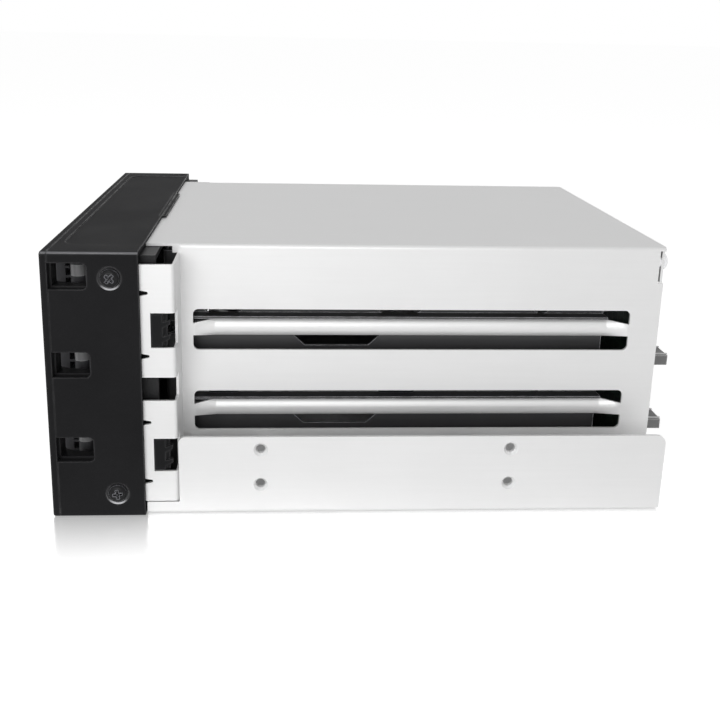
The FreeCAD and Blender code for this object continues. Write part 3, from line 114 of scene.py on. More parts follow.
class NodeSheet:
    """Adds and joins the nodes of one material or node group."""

    def __init__(self, tree: bpy.types.NodeTree) -> None:
        """Start with an empty tree.

        Args:
            tree: The tree that the nodes go into.
        """
        self.tree = tree
        self.tree.nodes.clear()
        self.column = 0

    def add(self, kind: str, values: Values | None = None, **settings: object) -> Node:
        """Add a node, set its plain properties and give its inputs their values.

        Args:
            kind: The node's type name.
            values: Input name or number to a socket or a fixed value.
            **settings: Properties to set on the node.

        Returns:
            The new node.
        """
        node = self.tree.nodes.new(kind)
        node.location = (self.column * NODE_SPACING, 0.0)
        self.column += 1
        for name, setting in settings.items():
            setattr(node, name, setting)
        self.fill(node, values or {})
        return node

    def fill(self, node: Node, values: Values) -> None:
        """Give a node's inputs their values, each from a socket or as a fixed one."""
        for label, value in values.items():
            if isinstance(value, Socket):
                self.tree.links.new(value, node.inputs[label])
            else:
                node.inputs[label].default_value = value

    def use(self, group: bpy.types.NodeTree, **values: Socket | float) -> Node:
        """Add a shared node group and give its inputs their values."""
        return self.add("ShaderNodeGroup", values, node_tree=group)

    def noise(self, vector: Socket, scale: Socket | float, detail: float, roughness: float = 0.5) -> Socket:
        """Add a noise texture.

        Args:
            vector: Coordinates that it reads.
            scale: Waves per metre, a socket or a number.
            detail: Number of octaves.
            roughness: Share of the finer octaves.

        Returns:
            Its value output.
        """
        values = {"Vector": vector, "Scale": scale, "Detail": detail, "Roughness": roughness}
        return self.add("ShaderNodeTexNoise", values).outputs[0]

    def stretch(self, vector: Socket, scale: Point) -> Socket:
        """Scale coordinates unevenly and give the new ones."""
        return self.add("ShaderNodeMapping", {"Scale": scale, "Vector": vector}).outputs["Vector"]

    def ranged(self, value: Socket, source: Span, target: Span) -> Socket:
        """Map one range of values to another, clamped.

        Args:
            value: The value to map.
            source: Lowest and highest value that come in.
            target: Values that go out at those two.

        Returns:
            The mapped value.
        """
        values = {"Value": value, "From Min": source[0], "From Max": source[1],
                  "To Min": target[0], "To Max": target[1]}
        return self.add("ShaderNodeMapRange", values, clamp=True).outputs["Result"]

    def maths(self, kind: str, first: Socket, second: Socket | float) -> Socket:
        """Join two values by one operation and give the result."""
        return self.add("ShaderNodeMath", {0: first, 1: second}, operation=kind).outputs[0]

    def blend(self, mask: Socket, first: Socket | Colour, second: Colour) -> Socket:
        """Blend two colours by a mask.

        Args:
            mask: Share of the second colour.
            first: A socket or a fixed colour.
            second: A fixed colour.

        Returns:
            The blended colour.
        """
        start = first if isinstance(first, Socket) else (*first, 1.0)
        values = {0: mask, 6: start, 7: (*second, 1.0)}
        return self.add("ShaderNodeMix", values, data_type="RGBA").outputs[2]

    def split(self, vector: Socket) -> bpy.types.bpy_prop_collection:
        """Give the X, Y and Z outputs of a vector."""
        return self.add("ShaderNodeSeparateXYZ", {0: vector}).outputs

    def bump(self, height: Socket, distance: float) -> Socket:
        """Turn a height from 0 to 1 into a normal, with its depth in metres."""
        values = {"Strength": 1.0, "Distance": distance, "Height": height}
        return self.add("ShaderNodeBump", values).outputs["Normal"]


def open_group(name: str, inputs: Sockets, outputs: list[str]) -> tuple[NodeSheet, Node, Node]:
    """Make a node group with named sockets.

    Args:
        name: The group's name.
        inputs: Socket name to its type and first value.
        outputs: Names of the value outputs.

    Returns:
        The sheet, its input node and its output node.
    """
    tree = bpy.data.node_groups.new(name, "ShaderNodeTree")
    for label, (kind, start) in inputs.items():
        socket = tree.interface.new_socket(name=label, in_out="INPUT", socket_type=kind)
        if kind == "NodeSocketFloat":
            socket.default_value = start
    for label in outputs:
        tree.interface.new_socket(name=label, in_out="OUTPUT", socket_type="NodeSocketFloat")
    sheet = NodeSheet(tree)
    return sheet, sheet.add("NodeGroupInput"), sheet.add("NodeGroupOutput")


def build_rolled_group() -> bpy.types.NodeTree:
    """Rolled sheet: long grain along the coil, soft clouds and a few fine scuffs."""
    sockets = {"Vector": ("NodeSocketVector", 0.0), "Grain": ("NodeSocketFloat", 900.0),
               "Cloud": ("NodeSocketFloat", 26.0)}
    sheet, source, result = open_group("rolled_sheet", sockets, ["Tone", "Height", "Scuff"])
    long_way = sheet.stretch(source.outputs["Vector"], (1.0, 0.035, 1.0))
    grain = sheet.noise(long_way, source.outputs["Grain"], 5.0)
    cloud = sheet.noise(source.outputs["Vector"], source.outputs["Cloud"], 3.0)
    tone = sheet.maths("ADD", sheet.maths("MULTIPLY", grain, 0.35), sheet.maths("MULTIPLY", cloud, 0.65))
    scuff_way = sheet.stretch(source.outputs["Vector"], (0.5, 0.03, 1.0))
    scuff = sheet.noise(scuff_way, 2200.0, 2.0, 0.55)
    scuffed = sheet.ranged(scuff, (0.66, 0.74), (0.0, 1.0))
    sheet.fill(result, {"Tone": tone, "Height": grain, "Scuff": scuffed})
    return sheet.tree


def build_moulded_group() -> bpy.types.NodeTree:
    """Spark-eroded mould surface: fine pits and a slow change of tone."""
    sockets = {"Vector": ("NodeSocketVector", 0.0), "Pits": ("NodeSocketFloat", 2600.0),
               "Cloud": ("NodeSocketFloat", 40.0)}
    sheet, source, result = open_group("moulded_skin", sockets, ["Tone", "Height"])
    values = {"Vector": source.outputs["Vector"], "Scale": source.outputs["Pits"]}
    pits = sheet.add("ShaderNodeTexVoronoi", values, feature="SMOOTH_F1")
    cloud = sheet.noise(source.outputs["Vector"], source.outputs["Cloud"], 4.0)
    sheet.fill(result, {"Tone": cloud, "Height": pits.outputs["Distance"]})
    return sheet.tree


def build_edge_group() -> bpy.types.NodeTree:
    """Mask that is 1 along sharp outer edges, for painted edge highlights, polish and wear."""
    sockets = {"Reach": ("NodeSocketFloat", 0.0005), "Breaks": ("NodeSocketFloat", 320.0)}
    sheet, source, result = open_group("edge_polish", sockets, ["Mask"])
    bevel = sheet.add("ShaderNodeBevel", {"Radius": source.outputs["Reach"]}, samples=4)
    geometry = sheet.add("ShaderNodeNewGeometry")
    normals = {0: bevel.outputs["Normal"], 1: geometry.outputs["Normal"]}
    across = sheet.add("ShaderNodeVectorMath", normals, operation="DOT_PRODUCT")
    turn = sheet.ranged(across.outputs["Value"], (0.997, 0.95), (0.0, 1.0))
    places = sheet.add("ShaderNodeTexCoord")
    breaks = sheet.noise(places.outputs["Object"], source.outputs["Breaks"], 2.0)
    broken = sheet.ranged(breaks, (0.3, 0.6), (0.35, 1.0))
    sheet.fill(result, {"Mask": sheet.maths("MULTIPLY", turn, broken)})
    return sheet.tree


@dataclass
class EffectLibrary:
    """Node groups that several finishes share, each built once."""

    rolled: bpy.types.NodeTree = field(default_factory=build_rolled_group)
    moulded: bpy.types.NodeTree = field(default_factory=build_moulded_group)
    edges: bpy.types.NodeTree = field(default_factory=build_edge_group)


@dataclass(frozen=True)
class Finish:
    """A surface finish; the methods of its kinds build the material."""

    name: str
    shade: Colour
    roughness: float

    def begin(self) -> tuple[NodeSheet, Socket]:
        """Open the material and give its node sheet and the Object coordinates."""
        material = bpy.data.materials.new(self.name)
        material.use_nodes = True
        sheet = NodeSheet(material.node_tree)
        return sheet, sheet.add("ShaderNodeTexCoord").outputs["Object"]

    def close(self, sheet: NodeSheet, values: Values) -> bpy.types.Material:
        """Add the shader and the output.

        Args:
            sheet: The material's nodes.
            values: What goes into the shader's inputs.

        Returns:
            The finished material.
        """
        shader = sheet.add("ShaderNodeBsdfPrincipled", values)
        sheet.add("ShaderNodeOutputMaterial", {"Surface": shader.outputs["BSDF"]})
        return bpy.data.materials[self.name]

    def rough(self, sheet: NodeSheet, tone: Socket, swing: Span) -> Socket:
        """Let the roughness swing with the tone of the surface.

        Args:
            sheet: The material's nodes.
            tone: The tone, which lies mostly between 0.3 and 0.7.
            swing: What is added to the roughness at those two.

        Returns:
            The roughness.
        """
        return sheet.ranged(tone, (0.3, 0.7), (self.roughness + swing[0], self.roughness + swing[1]))

    def tone(self, factor: float) -> Colour:
        """Give the shade made lighter or darker."""
        return tuple(min(1.0, part * factor) for part in self.shade)


@dataclass(frozen=True)
class SheetSteel(Finish):
    """Zinc-plated or bright steel sheet with a rolled grain and painted highlight lines along its edges."""

    metallic: float = 0.7
    grain_depth: float = 0.000006
    contrast: float = 0.05
    # Colour factor along edges: a painted highlight, with a little edge wear.
    edge_highlight_tone: float = 1.12
    edge_reach: float = 0.0003
    specular: float = 0.5
    cloud_range: Span = (0.35, 0.65)
    rough_swing: Span = (-0.06, 0.07)
    scuff_polish: float = 0.07

    def build(self, effects: EffectLibrary) -> bpy.types.Material:
        """Build the material.

        Args:
            effects: The shared node groups.

        Returns:
            The finished material.
        """
        sheet, places = self.begin()
        rolled = sheet.use(effects.rolled, Vector=places, Grain=900.0, Cloud=26.0)
        edges = sheet.use(effects.edges, Reach=self.edge_reach, Breaks=300.0)
        base = sheet.blend(sheet.ranged(rolled.outputs["Tone"], self.cloud_range, (0.0, 1.0)),
                           self.tone(1.0 - self.contrast), self.tone(1.0 + self.contrast))
        # Lighter colour along the edges: painted highlight lines, with a little edge wear.
        edge_highlighted = sheet.blend(edges.outputs["Mask"], base, self.tone(self.edge_highlight_tone))
        rough = self.rough(sheet, rolled.outputs["Tone"], self.rough_swing)
        scuffs = sheet.maths("MULTIPLY", rolled.outputs["Scuff"], self.scuff_polish)
        rubbed = sheet.maths("SUBTRACT", rough, scuffs)
        return self.close(sheet, {"Base Color": edge_highlighted, "Roughness": rubbed, "Metallic": self.metallic,
                                  "Specular IOR Level": self.specular,
                                  "Normal": sheet.bump(rolled.outputs["Height"], self.grain_depth)})


@dataclass(frozen=True)
class MouldedPlastic(Finish):
    """Moulded plastic with a fine eroded skin, lower roughness along edges, and painted highlights on edges
    and crests.
    """

    pit_depth: float = 0.00002
    specular: float = 0.5
    # Colour factor along edges: a painted highlight, with a little edge wear.
    edge_highlight_tone: float = 1.9
    edge_reach: float = 0.0006
    edge_coat: float = 0.0
    coat_roughness: float = 0.2
    # Colour factor on faces that lean up and sideways: a painted highlight.
    crest_highlight_tone: float = 0.0
    crest_highlight_range: Span = (0.3, 0.47)
    contrast: float = 0.12
    rough_swing: Span = (-0.04, 0.05)
    edge_polish: float = 0.12

    def crest_highlight_mask(self, sheet: NodeSheet) -> Socket:
        """Give 1 where a face leans up and sideways, as on the crest between top and sides, where a painted
        highlight goes.

        Args:
            sheet: The material's nodes.

        Returns:
            The mask.
        """
        geometry = sheet.add("ShaderNodeNewGeometry")
        parts = sheet.split(geometry.outputs["Normal"])
        across = sheet.maths("ABSOLUTE", parts["X"], 0.0)
        return sheet.ranged(sheet.maths("MULTIPLY", across, parts["Z"]), self.crest_highlight_range, (0.0, 1.0))

    def build(self, effects: EffectLibrary) -> bpy.types.Material:
        """Build the material.

        Args:
            effects: The shared node groups.

        Returns:
            The finished material.
        """
        sheet, places = self.begin()
        skin = sheet.use(effects.moulded, Vector=places, Pits=2600.0, Cloud=40.0)
        edges = sheet.use(effects.edges, Reach=self.edge_reach, Breaks=180.0)
        base = sheet.blend(sheet.ranged(skin.outputs["Tone"], (0.3, 0.7), (0.0, 1.0)),
                           self.tone(1.0 - self.contrast), self.tone(1.0 + self.contrast))
        mask = edges.outputs["Mask"]
        # Lighter colour along the edges: painted highlight lines, with a little edge wear.
        painted_highlight_colour = sheet.blend(mask, base, self.tone(self.edge_highlight_tone))
        rough = self.rough(sheet, skin.outputs["Tone"], self.rough_swing)
        smoothed = sheet.maths("SUBTRACT", rough, sheet.maths("MULTIPLY", mask, self.edge_polish))
        # Lighter colour on faces that lean up and sideways: a painted highlight on the crest between top and
        # sides and on the lower crescent of the screw seats.
        if self.crest_highlight_tone > 0.0:
            crest = self.crest_highlight_mask(sheet)
            painted_highlight_colour = sheet.blend(crest, painted_highlight_colour, self.tone(self.crest_highlight_tone))
            mask = sheet.maths("MAXIMUM", mask, crest)
        values = {"Base Color": painted_highlight_colour, "Roughness": smoothed, "Specular IOR Level": self.specular,
                  "Normal": sheet.bump(skin.outputs["Height"], self.pit_depth)}
        if self.edge_coat > 0.0:
            values["Coat Weight"] = sheet.maths("MULTIPLY", mask, self.edge_coat)
            values["Coat Roughness"] = self.coat_roughness
        return self.close(sheet, values)


@dataclass(frozen=True)
class CircuitBoard(Finish):
    """Solder mask over copper: raised tracks, pads and a glossy coat."""

    copper: Colour = (0.05, 0.17, 0.09)
    track_scale: float = 210.0
    track_disorder: float = 0.35
    track_edge: Span = (0.05, 0.09)
    track_height: float = 0.00003
    rough_swing: Span = (-0.05, 0.05)
    coat: float = 0.4
    coat_roughness: float = 0.12

    def build(self, effects: EffectLibrary) -> bpy.types.Material:
        """Build the material.

        Args:
            effects: The shared node groups.

        Returns:
            The finished material.
        """
        sheet, places = self.begin()
        skin = sheet.use(effects.moulded, Vector=places, Pits=5000.0, Cloud=60.0)
        parts = sheet.split(places)
        grid = sheet.add("ShaderNodeCombineXYZ", {"X": parts["X"], "Y": parts["Z"]})
        values = {"Vector": grid.outputs[0], "Scale": self.track_scale,
                  "Randomness": self.track_disorder}
        tracks = sheet.add("ShaderNodeTexVoronoi", values, feature="DISTANCE_TO_EDGE",
                           distance="EUCLIDEAN")
        mask = sheet.ranged(tracks.outputs["Distance"], self.track_edge, (1.0, 0.0))
        base = sheet.blend(mask, self.shade, self.copper)
        rough = self.rough(sheet, skin.outputs["Tone"], self.rough_swing)
        return self.close(sheet, {"Base Color": base, "Roughness": rough, "Coat Weight": self.coat,
                                  "Coat Roughness": self.coat_roughness,
                                  "Normal": sheet.bump(mask, self.track_height)})


@dataclass(frozen=True)
class ClearPlastic(Finish):
    """Clear moulded light guide with faint flow lines."""

    index: float = 1.49
    transmission: float = 0.85
    flow_depth: float = 0.000005
    rough_swing: Span = (0.0, 0.08)
    tones: Span = (0.94, 1.04)

    def build(self, effects: EffectLibrary) -> bpy.types.Material:
        """Build the material.

        Args:
            effects: The shared node groups.

        Returns:
            The finished material.
        """
        sheet, places = self.begin()
        skin = sheet.use(effects.moulded, Vector=places, Pits=900.0, Cloud=90.0)
        base = sheet.blend(skin.outputs["Tone"], self.tone(self.tones[0]), self.tone(self.tones[1]))
        rough = self.rough(sheet, skin.outputs["Tone"], self.rough_swing)
        return self.close(sheet, {"Base Color": base, "Roughness": rough,
                                  "Transmission Weight": self.transmission, "IOR": self.index,
                                  "Normal": sheet.bump(skin.outputs["Height"], self.flow_depth)})


@dataclass
class Palette:
    """Every finish of the cage, built once."""

    effects: EffectLibrary = field(default_factory=EffectLibrary)
    built: dict[str, bpy.types.Material] = field(default_factory=dict)

    def build(self) -> None:
        """Build all the materials."""
        kinds: list[Finish] = [
            SheetSteel("zinc_plated_sheet", (0.80, 0.80, 0.80), 0.42, metallic=0.3, contrast=0.018,
                       edge_highlight_tone=1.1),
            SheetSteel("tray_sheet", (0.045, 0.045, 0.047), 0.38, metallic=0.0, edge_highlight_tone=14.0),
            SheetSteel("bright_fastener", (0.72, 0.72, 0.73), 0.28, metallic=0.95),
            SheetSteel("blackened_screw", (0.011, 0.011, 0.012), 0.3, metallic=0.0, edge_highlight_tone=30.0,
                       edge_reach=0.0004, specular=0.12),
            SheetSteel("oiled_spring", (0.11, 0.11, 0.113), 0.5, metallic=0.3, edge_highlight_tone=1.2),
            SheetSteel("gold_contact", (0.83, 0.60, 0.26), 0.25, metallic=1.0),
            # The bezel's crest tone paints the highlight line between its top and sides.
            MouldedPlastic("black_bezel_plastic", (0.017, 0.017, 0.018), 0.6, specular=0.03, edge_highlight_tone=1.7,
                           edge_coat=0.6, crest_highlight_tone=9.0),
            # The seat flare's lighter colour and crest tone paint its bright lower crescent as a highlight.
            MouldedPlastic("glossy_seat_painted_highlight", (0.05, 0.05, 0.052), 0.22, specular=0.9, pit_depth=0.000002,
                           edge_highlight_tone=2.0, crest_highlight_tone=14.0),
            MouldedPlastic("black_tray_plastic", (0.012, 0.012, 0.013), 0.5, specular=0.25),
            MouldedPlastic("lever_plastic", (0.045, 0.045, 0.047), 0.42, edge_highlight_tone=4.5),
            MouldedPlastic("pale_guard_plastic", (0.24, 0.24, 0.245), 0.4, edge_highlight_tone=1.8),
            MouldedPlastic("button_plastic", (0.12, 0.12, 0.125), 0.4),
            MouldedPlastic("grey_connector_plastic", (0.20, 0.20, 0.20), 0.45, edge_highlight_tone=4.2),
            # The pale rib colour paints the highlight lines along the plug's top steps.
            MouldedPlastic("connector_rib_painted_highlight", (0.66, 0.66, 0.66), 0.4, edge_highlight_tone=1.2),
            MouldedPlastic("dark_connector_plastic", (0.035, 0.035, 0.036), 0.45),
            CircuitBoard("dark_solder_mask", (0.006, 0.016, 0.011), 0.34, copper=(0.02, 0.045, 0.03)),
            ClearPlastic("clear_guide_plastic", (0.90, 0.92, 0.93), 0.06),
        ]
        for finish in kinds:
            self.built[finish.name] = finish.build(self.effects)
            log.info("finish %s", finish.name)

    def dress(self, piece: Piece, finish: str) -> None:
        """Give a piece one finish in place of what it had."""
        piece.data.materials.clear()
        piece.data.materials.append(self.built[finish])


# Work at the bench


def clear_selection() -> None:
    """Deselect everything."""
    bpy.ops.object.select_all(action="DESELECT")


def take(piece: Piece) -> None:
    """Select one piece alone and make it active."""
    clear_selection()
    piece.select_set(True)
    bpy.context.view_layer.objects.active = piece


def settle(piece: Piece) -> None:
    """Put the piece's place into its mesh."""
    take(piece)
    bpy.ops.object.transform_apply(location=True, rotation=True, scale=True)


def named(name: str) -> Piece:
    """Name the mesh that was just added and put its place into it."""
    piece = bpy.context.active_object
    piece.name = name
    settle(piece)
    return piece


def start_box(name: str, low: Point, high: Point) -> Piece:
    """Add a block between two corners.

    Args:
        name: The piece's name.
        low: Lowest corner in millimetres.
        high: Highest corner in millimetres.

    Returns:
        The block, with its place in its mesh.
    """
    clear_selection()
    first, last = metres(low), metres(high)
    bpy.ops.mesh.primitive_cube_add(size=1.0, location=(first + last) / 2.0)
    bpy.context.active_object.scale = last - first
    return named(name)


def between(start: Point, end: Point) -> dict[str, object]:
    """Give the depth, place and turn of a round mesh between two points in millimetres."""
    first, last = metres(start), metres(end)
    span = last - first
    return {"depth": span.length, "location": (first + last) / 2.0,
            "rotation": span.to_track_quat("Z", "Y").to_euler()}


def start_rod(name: str, start: Point, end: Point, radius: float, sides: int = 32) -> Piece:
    """Add a round bar between two points.

    Args:
        name: The piece's name.
        start: Middle of one end, in millimetres.
        end: Middle of the other end.
        radius: Radius in millimetres.
        sides: Number of flats round it.

    Returns:
        The bar, with its place in its mesh.
    """
    clear_selection()
    bpy.ops.mesh.primitive_cylinder_add(vertices=sides, radius=radius / 1000.0, **between(start, end))
    return named(name)


def start_cone(name: str, start: Point, end: Point, radii: Span, sides: int = 40) -> Piece:
    """Add a cone frustum between two points.

    Args:
        name: The piece's name.
        start: Middle of one end, in millimetres.
        end: Middle of the other end.
        radii: Radius at each end, in millimetres.
        sides: Number of flats round it.

    Returns:
        The frustum, with its place in its mesh.
    """
    clear_selection()
    bpy.ops.mesh.primitive_cone_add(vertices=sides, radius1=radii[0] / 1000.0, radius2=radii[1] / 1000.0,
                                    **between(start, end))
    return named(name)


class Bench:
    """Edit mode on one piece, with faces picked by their place and normal."""

    def __init__(self, piece: Piece) -> None:
        """Remember the piece."""
        self.piece = piece

    def __enter__(self) -> "Bench":
        """Open the piece in edit mode with nothing picked."""
        take(self.piece)
        bpy.ops.object.mode_set(mode="EDIT")
        bpy.ops.mesh.select_mode(type="FACE")
        bpy.ops.mesh.select_all(action="DESELECT")
        return self

    def __exit__(self, *problem: object) -> None:
        """Leave edit mode."""
        bpy.ops.object.mode_set(mode="OBJECT")

    def pick(self, test: Callable[[Vector, Vector], bool]) -> int:
        """Select the faces that pass a test.

        Args:
            test: Takes a face's middle in millimetres and its normal.

        Returns:
            How many faces were picked.
        """
        mesh = bmesh.from_edit_mesh(self.piece.data)
        count = 0
        for face in mesh.faces:
            face.select = test(face.calc_center_median() * 1000.0, face.normal)
            count += int(face.select)
        mesh.select_flush(True)
        for face in mesh.faces:
            face.select = face.select and test(face.calc_center_median() * 1000.0, face.normal)
        mesh.select_flush_mode()
        bmesh.update_edit_mesh(self.piece.data)
        return count

    def push(self, step: Point) -> None:
        """Extrude the picked faces by a step in millimetres."""
        bpy.ops.mesh.extrude_region_move(TRANSFORM_OT_translate={"value": metres(step)})

    def shrink(self, margin: float) -> None:
        """Inset the picked faces by a margin in millimetres."""
        bpy.ops.mesh.inset(thickness=margin / 1000.0, depth=0.0)

    def resize(self, factor: Point, middle: Point) -> None:
        """Scale what is picked about a point in millimetres."""
        bpy.ops.transform.resize(value=factor, center_override=metres(middle))


def apply_modifier(piece: Piece, kind: str, **settings: object) -> None:
    """Add a modifier to a piece, set its properties and apply it."""
    take(piece)
    bpy.ops.object.modifier_add(type=kind)
    modifier = piece.modifiers[-1]
    for name, setting in settings.items():
        setattr(modifier, name, setting)
    bpy.ops.object.modifier_apply(modifier=modifier.name)


def shade(piece: Piece, angle: float) -> None:
    """Shade faces as one surface where they meet at less than an angle in degrees."""
    take(piece)
    bpy.ops.object.shade_smooth_by_angle(angle=math.radians(angle))


def soften(piece: Piece, width: float, segments: int = 2, angle: float = 30.0, smooth: float = 35.0) -> None:
    """Round the sharp edges with an applied bevel.

    Args:
        piece: The mesh to work on.
        width: Width of the rounding in millimetres.
        segments: Steps across it.
        angle: Least turn between faces in degrees.
        smooth: Angle up to which faces shade as one surface.
    """
    apply_modifier(piece, "BEVEL", width=width / 1000.0, segments=segments, limit_method="ANGLE",
                   angle_limit=math.radians(angle), use_clamp_overlap=True)
    shade(piece, smooth)
    flatten_shading(piece)


def flatten_shading(piece: Piece) -> None:
    """Let the large faces set the normals, so that they shade flat up to their rounded edges."""
    apply_modifier(piece, "WEIGHTED_NORMAL", mode="FACE_AREA", weight=90, keep_sharp=True)


def carve(piece: Piece, cutter: Piece) -> None:
    """Cut one mesh out of another and throw the cutter away."""
    apply_modifier(piece, "BOOLEAN", operation="DIFFERENCE", solver="EXACT", object=cutter)
    bpy.data.objects.remove(cutter)


def gather(name: str, parts: list[Piece]) -> Piece:
    """Join several meshes under one name.

    Args:
        name: Name of the joined piece.
        parts: The meshes.

    Returns:
        The joined piece.
    """
    clear_selection()
    for part in parts:
        part.select_set(True)
    bpy.context.view_layer.objects.active = parts[0]
    if len(parts) > 1:
        bpy.ops.object.join()
    parts[0].name = name
    return parts[0]


def duplicate(pattern: Piece, name: str) -> Piece:
    """Copy a piece together with its mesh."""
    take(pattern)
    bpy.ops.object.duplicate(linked=False)
    piece = bpy.context.active_object
    piece.name = name
    return piece


def merged_copy(node: str, name: str) -> Piece:
    """Copy a CAD node and merge its loose triangles.

    Args:
        node: The CAD node's name.
        name: Name of the new piece.

    Returns:
        The new piece.
    """
    piece = duplicate(frame["nodes"][node], name)
    piece.parent = None
    piece.matrix_world = Matrix.Identity(4)
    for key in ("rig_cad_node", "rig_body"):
        if key in piece:
            del piece[key]
    bpy.ops.object.mode_set(mode="EDIT")
    bpy.ops.mesh.select_all(action="SELECT")
    bpy.ops.mesh.remove_doubles(threshold=MERGE_DISTANCE)
    bpy.ops.mesh.dissolve_limited(angle_limit=math.radians(FLAT_ANGLE))
    bpy.ops.object.mode_set(mode="OBJECT")
    bpy.ops.mesh.customdata_custom_splitnormals_clear()
    return piece


def softened_copy(node: str, name: str, width: float, segments: int = 2) -> Piece:
    """Copy a CAD node and round its edges.

    Args:
        node: The CAD node's name.
        name: Name of the new piece.
        width: Width of the rounding in millimetres.
        segments: Steps across it.

    Returns:
        The new piece.
    """
    piece = merged_copy(node, name)
    soften(piece, width, segments)
    return piece


def fit(piece: Piece, body: str, slot: Slot, *nodes: str) -> None:
    """Attach a finished piece to its body and hide the nodes that it stands for."""
    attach(piece, body)
    if nodes:
        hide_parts(*nodes)
    log.info("piece %s rides on %s", piece.name, body)


def deliver(palette: Palette, piece: Piece, finish: str, body: str, slot: Slot, *nodes: str) -> None:
    """Dress a finished piece and fit it.

    Args:
        palette: The finishes.
        piece: The finished mesh.
        finish: Name of its finish.
        body: The body that it rides on.
        slot: Its material slot; not used.
        *nodes: The nodes that it stands for.
    """
    palette.dress(piece, finish)
    fit(piece, body, slot, *nodes)


def mould(palette: Palette, node: str, name: str, rounding: float, finish: str, body: str,
          slot: Slot) -> None:
    """Round the edges of a CAD moulding, dress it and let it stand for its node.

    Args:
        palette: The finishes.
        node: The CAD node's name.
        name: Name of the new piece.
        rounding: Width of the rounding in millimetres.
        finish: Name of its finish.
        body: The body that it rides on.
        slot: Its material slot; not used.
    """
    deliver(palette, softened_copy(node, name, rounding), finish, body, slot, node)


def stand(point: Point, direction: Point) -> Matrix:
    """Give the place of something whose own Z axis points along a direction."""
    turn = Vector(direction).to_track_quat("Z", "Y").to_matrix().to_4x4()
    return Matrix.Translation(metres(point)) @ turn


# The cage's sub-assemblies


@dataclass
class CrossScrew:
    """Pan head screw with a crossed recess, modelled once along +Z from its seat."""

    head_radius: float = 2.8
    head_height: float = 1.5
    shank_radius: float = 1.5
    shank_length: float = 3.6
    recess_depth: float = 1.05
    recess_width: float = 0.95
    recess_reach: float = 0.62
    recess_taper: float = 0.7
    rim_share: float = 0.4
    dome: tuple[Span, ...] = ((0.3, 0.9), (0.2, 0.84), (0.1, 0.72))

    def model(self, name: str) -> Piece:
        """Model the screw.

        Args:
            name: Name of the pattern.

        Returns:
            The pattern, with its seat at the origin.
        """
        top = self.head_height * self.rim_share
        screw = start_rod(name, (0, 0, 0), (0, 0, top), self.head_radius, 40)
        with Bench(screw) as bench:
            bench.pick(lambda middle, normal: normal.z > 0.9)
            for rise, narrow in self.dome:
                bench.push((0, 0, self.head_height * rise))
                bench.resize((narrow, narrow, 1.0), (0, 0, top))
            bench.pick(lambda middle, normal: normal.z < -0.9)
            bench.shrink(self.head_radius - self.shank_radius)
            bench.pick(lambda middle, normal: normal.z < -0.9 and middle.xy.length < 0.1)
            bench.push((0, 0, -self.shank_length))
        arm = self.head_radius * self.recess_reach
        half = self.recess_width / 2.0
        for reach, width in ((arm, half), (half, arm)):
            cutter = start_box("recess", (-reach, -width, self.head_height - self.recess_depth),
                               (reach, width, self.head_height + 1.0))
            with Bench(cutter) as bench:
                bench.pick(lambda middle, normal: normal.z < -0.9)
                bench.resize((self.recess_taper, self.recess_taper, 1.0), (0, 0, 0))
            carve(screw, cutter)
        shade(screw, 28.0)
        return screw


@dataclass
class Fasteners:
    """All screw sets, each set one piece that stands for its node."""

    palette: Palette
    bezel_seat: float = 73.8
    rear_seat: float = 97.0
    rear_places: tuple[float, ...] = (-54.3, 0.0, 54.3)
    rear_levels: Span = (79.0, 5.0)
    tray_seat: float = -63.2
    tray_places: Span = (-40.0, 40.0)
    tray_levels: Span = (7.0, 20.0)
    first_turn: float = 17.0
    next_turn: float = 41.0

    def lay_out(self, name: str, pattern: Piece, spots: list[tuple[Point, Point]]) -> Piece:
        """Set copies of a pattern at their places and join them.

        Args:
            name: Name of the set.
            pattern: The screw to copy.
            spots: Seat and direction of each screw.

        Returns:
            The set as one piece.
        """
        copies = []
        for number, (point, direction) in enumerate(spots):
            turn = Matrix.Rotation(math.radians(self.first_turn + number * self.next_turn), 4, "Z")
            screw = duplicate(pattern, "%s_%d" % (name, number))
            screw.matrix_world = stand(point, direction) @ turn
            settle(screw)
            copies.append(screw)
        return gather(name, copies)

    def build(self) -> None:
        """Build the bezel, rear and tray screws."""
        short = CrossScrew(shank_length=1.9).model("short_screw")
        plain = CrossScrew().model("plain_screw")
        small = CrossScrew(head_radius=2.4, shank_radius=1.2, shank_length=5.0).model("tray_screw")
        sides = [((side * self.bezel_seat, BEZEL_SCREW_DEPTH, level), (side, 0, 0))
                 for side in (-1, 1) for level in BEZEL_SCREW_LEVELS]
        bezel = self.lay_out("bezel_screw_set", short, sides)
        deliver(self.palette, bezel, "blackened_screw", "root", Slot.SCREW, "bezel_screws")
        rear = [((x, self.rear_seat, z), (0, 1, 0)) for x in self.rear_places for z in self.rear_levels]
        board = self.lay_out("rear_screw_set", plain, rear)
        deliver(self.palette, board, "bright_fastener", "root", Slot.BRIGHT, "rear_screws")
        for bay in BAYS:
            seats = [((x, self.tray_seat, BAY_FLOOR[bay] + z), (0, 1, 0))
                     for x in self.tray_places for z in self.tray_levels]
            tray = self.lay_out("tray_screw_set_" + bay, small, seats)
            deliver(self.palette, tray, "bright_fastener", "tray_" + bay, Slot.BRIGHT, "tray_screws_" + bay)
        for pattern in (short, plain, small):
            bpy.data.objects.remove(pattern)


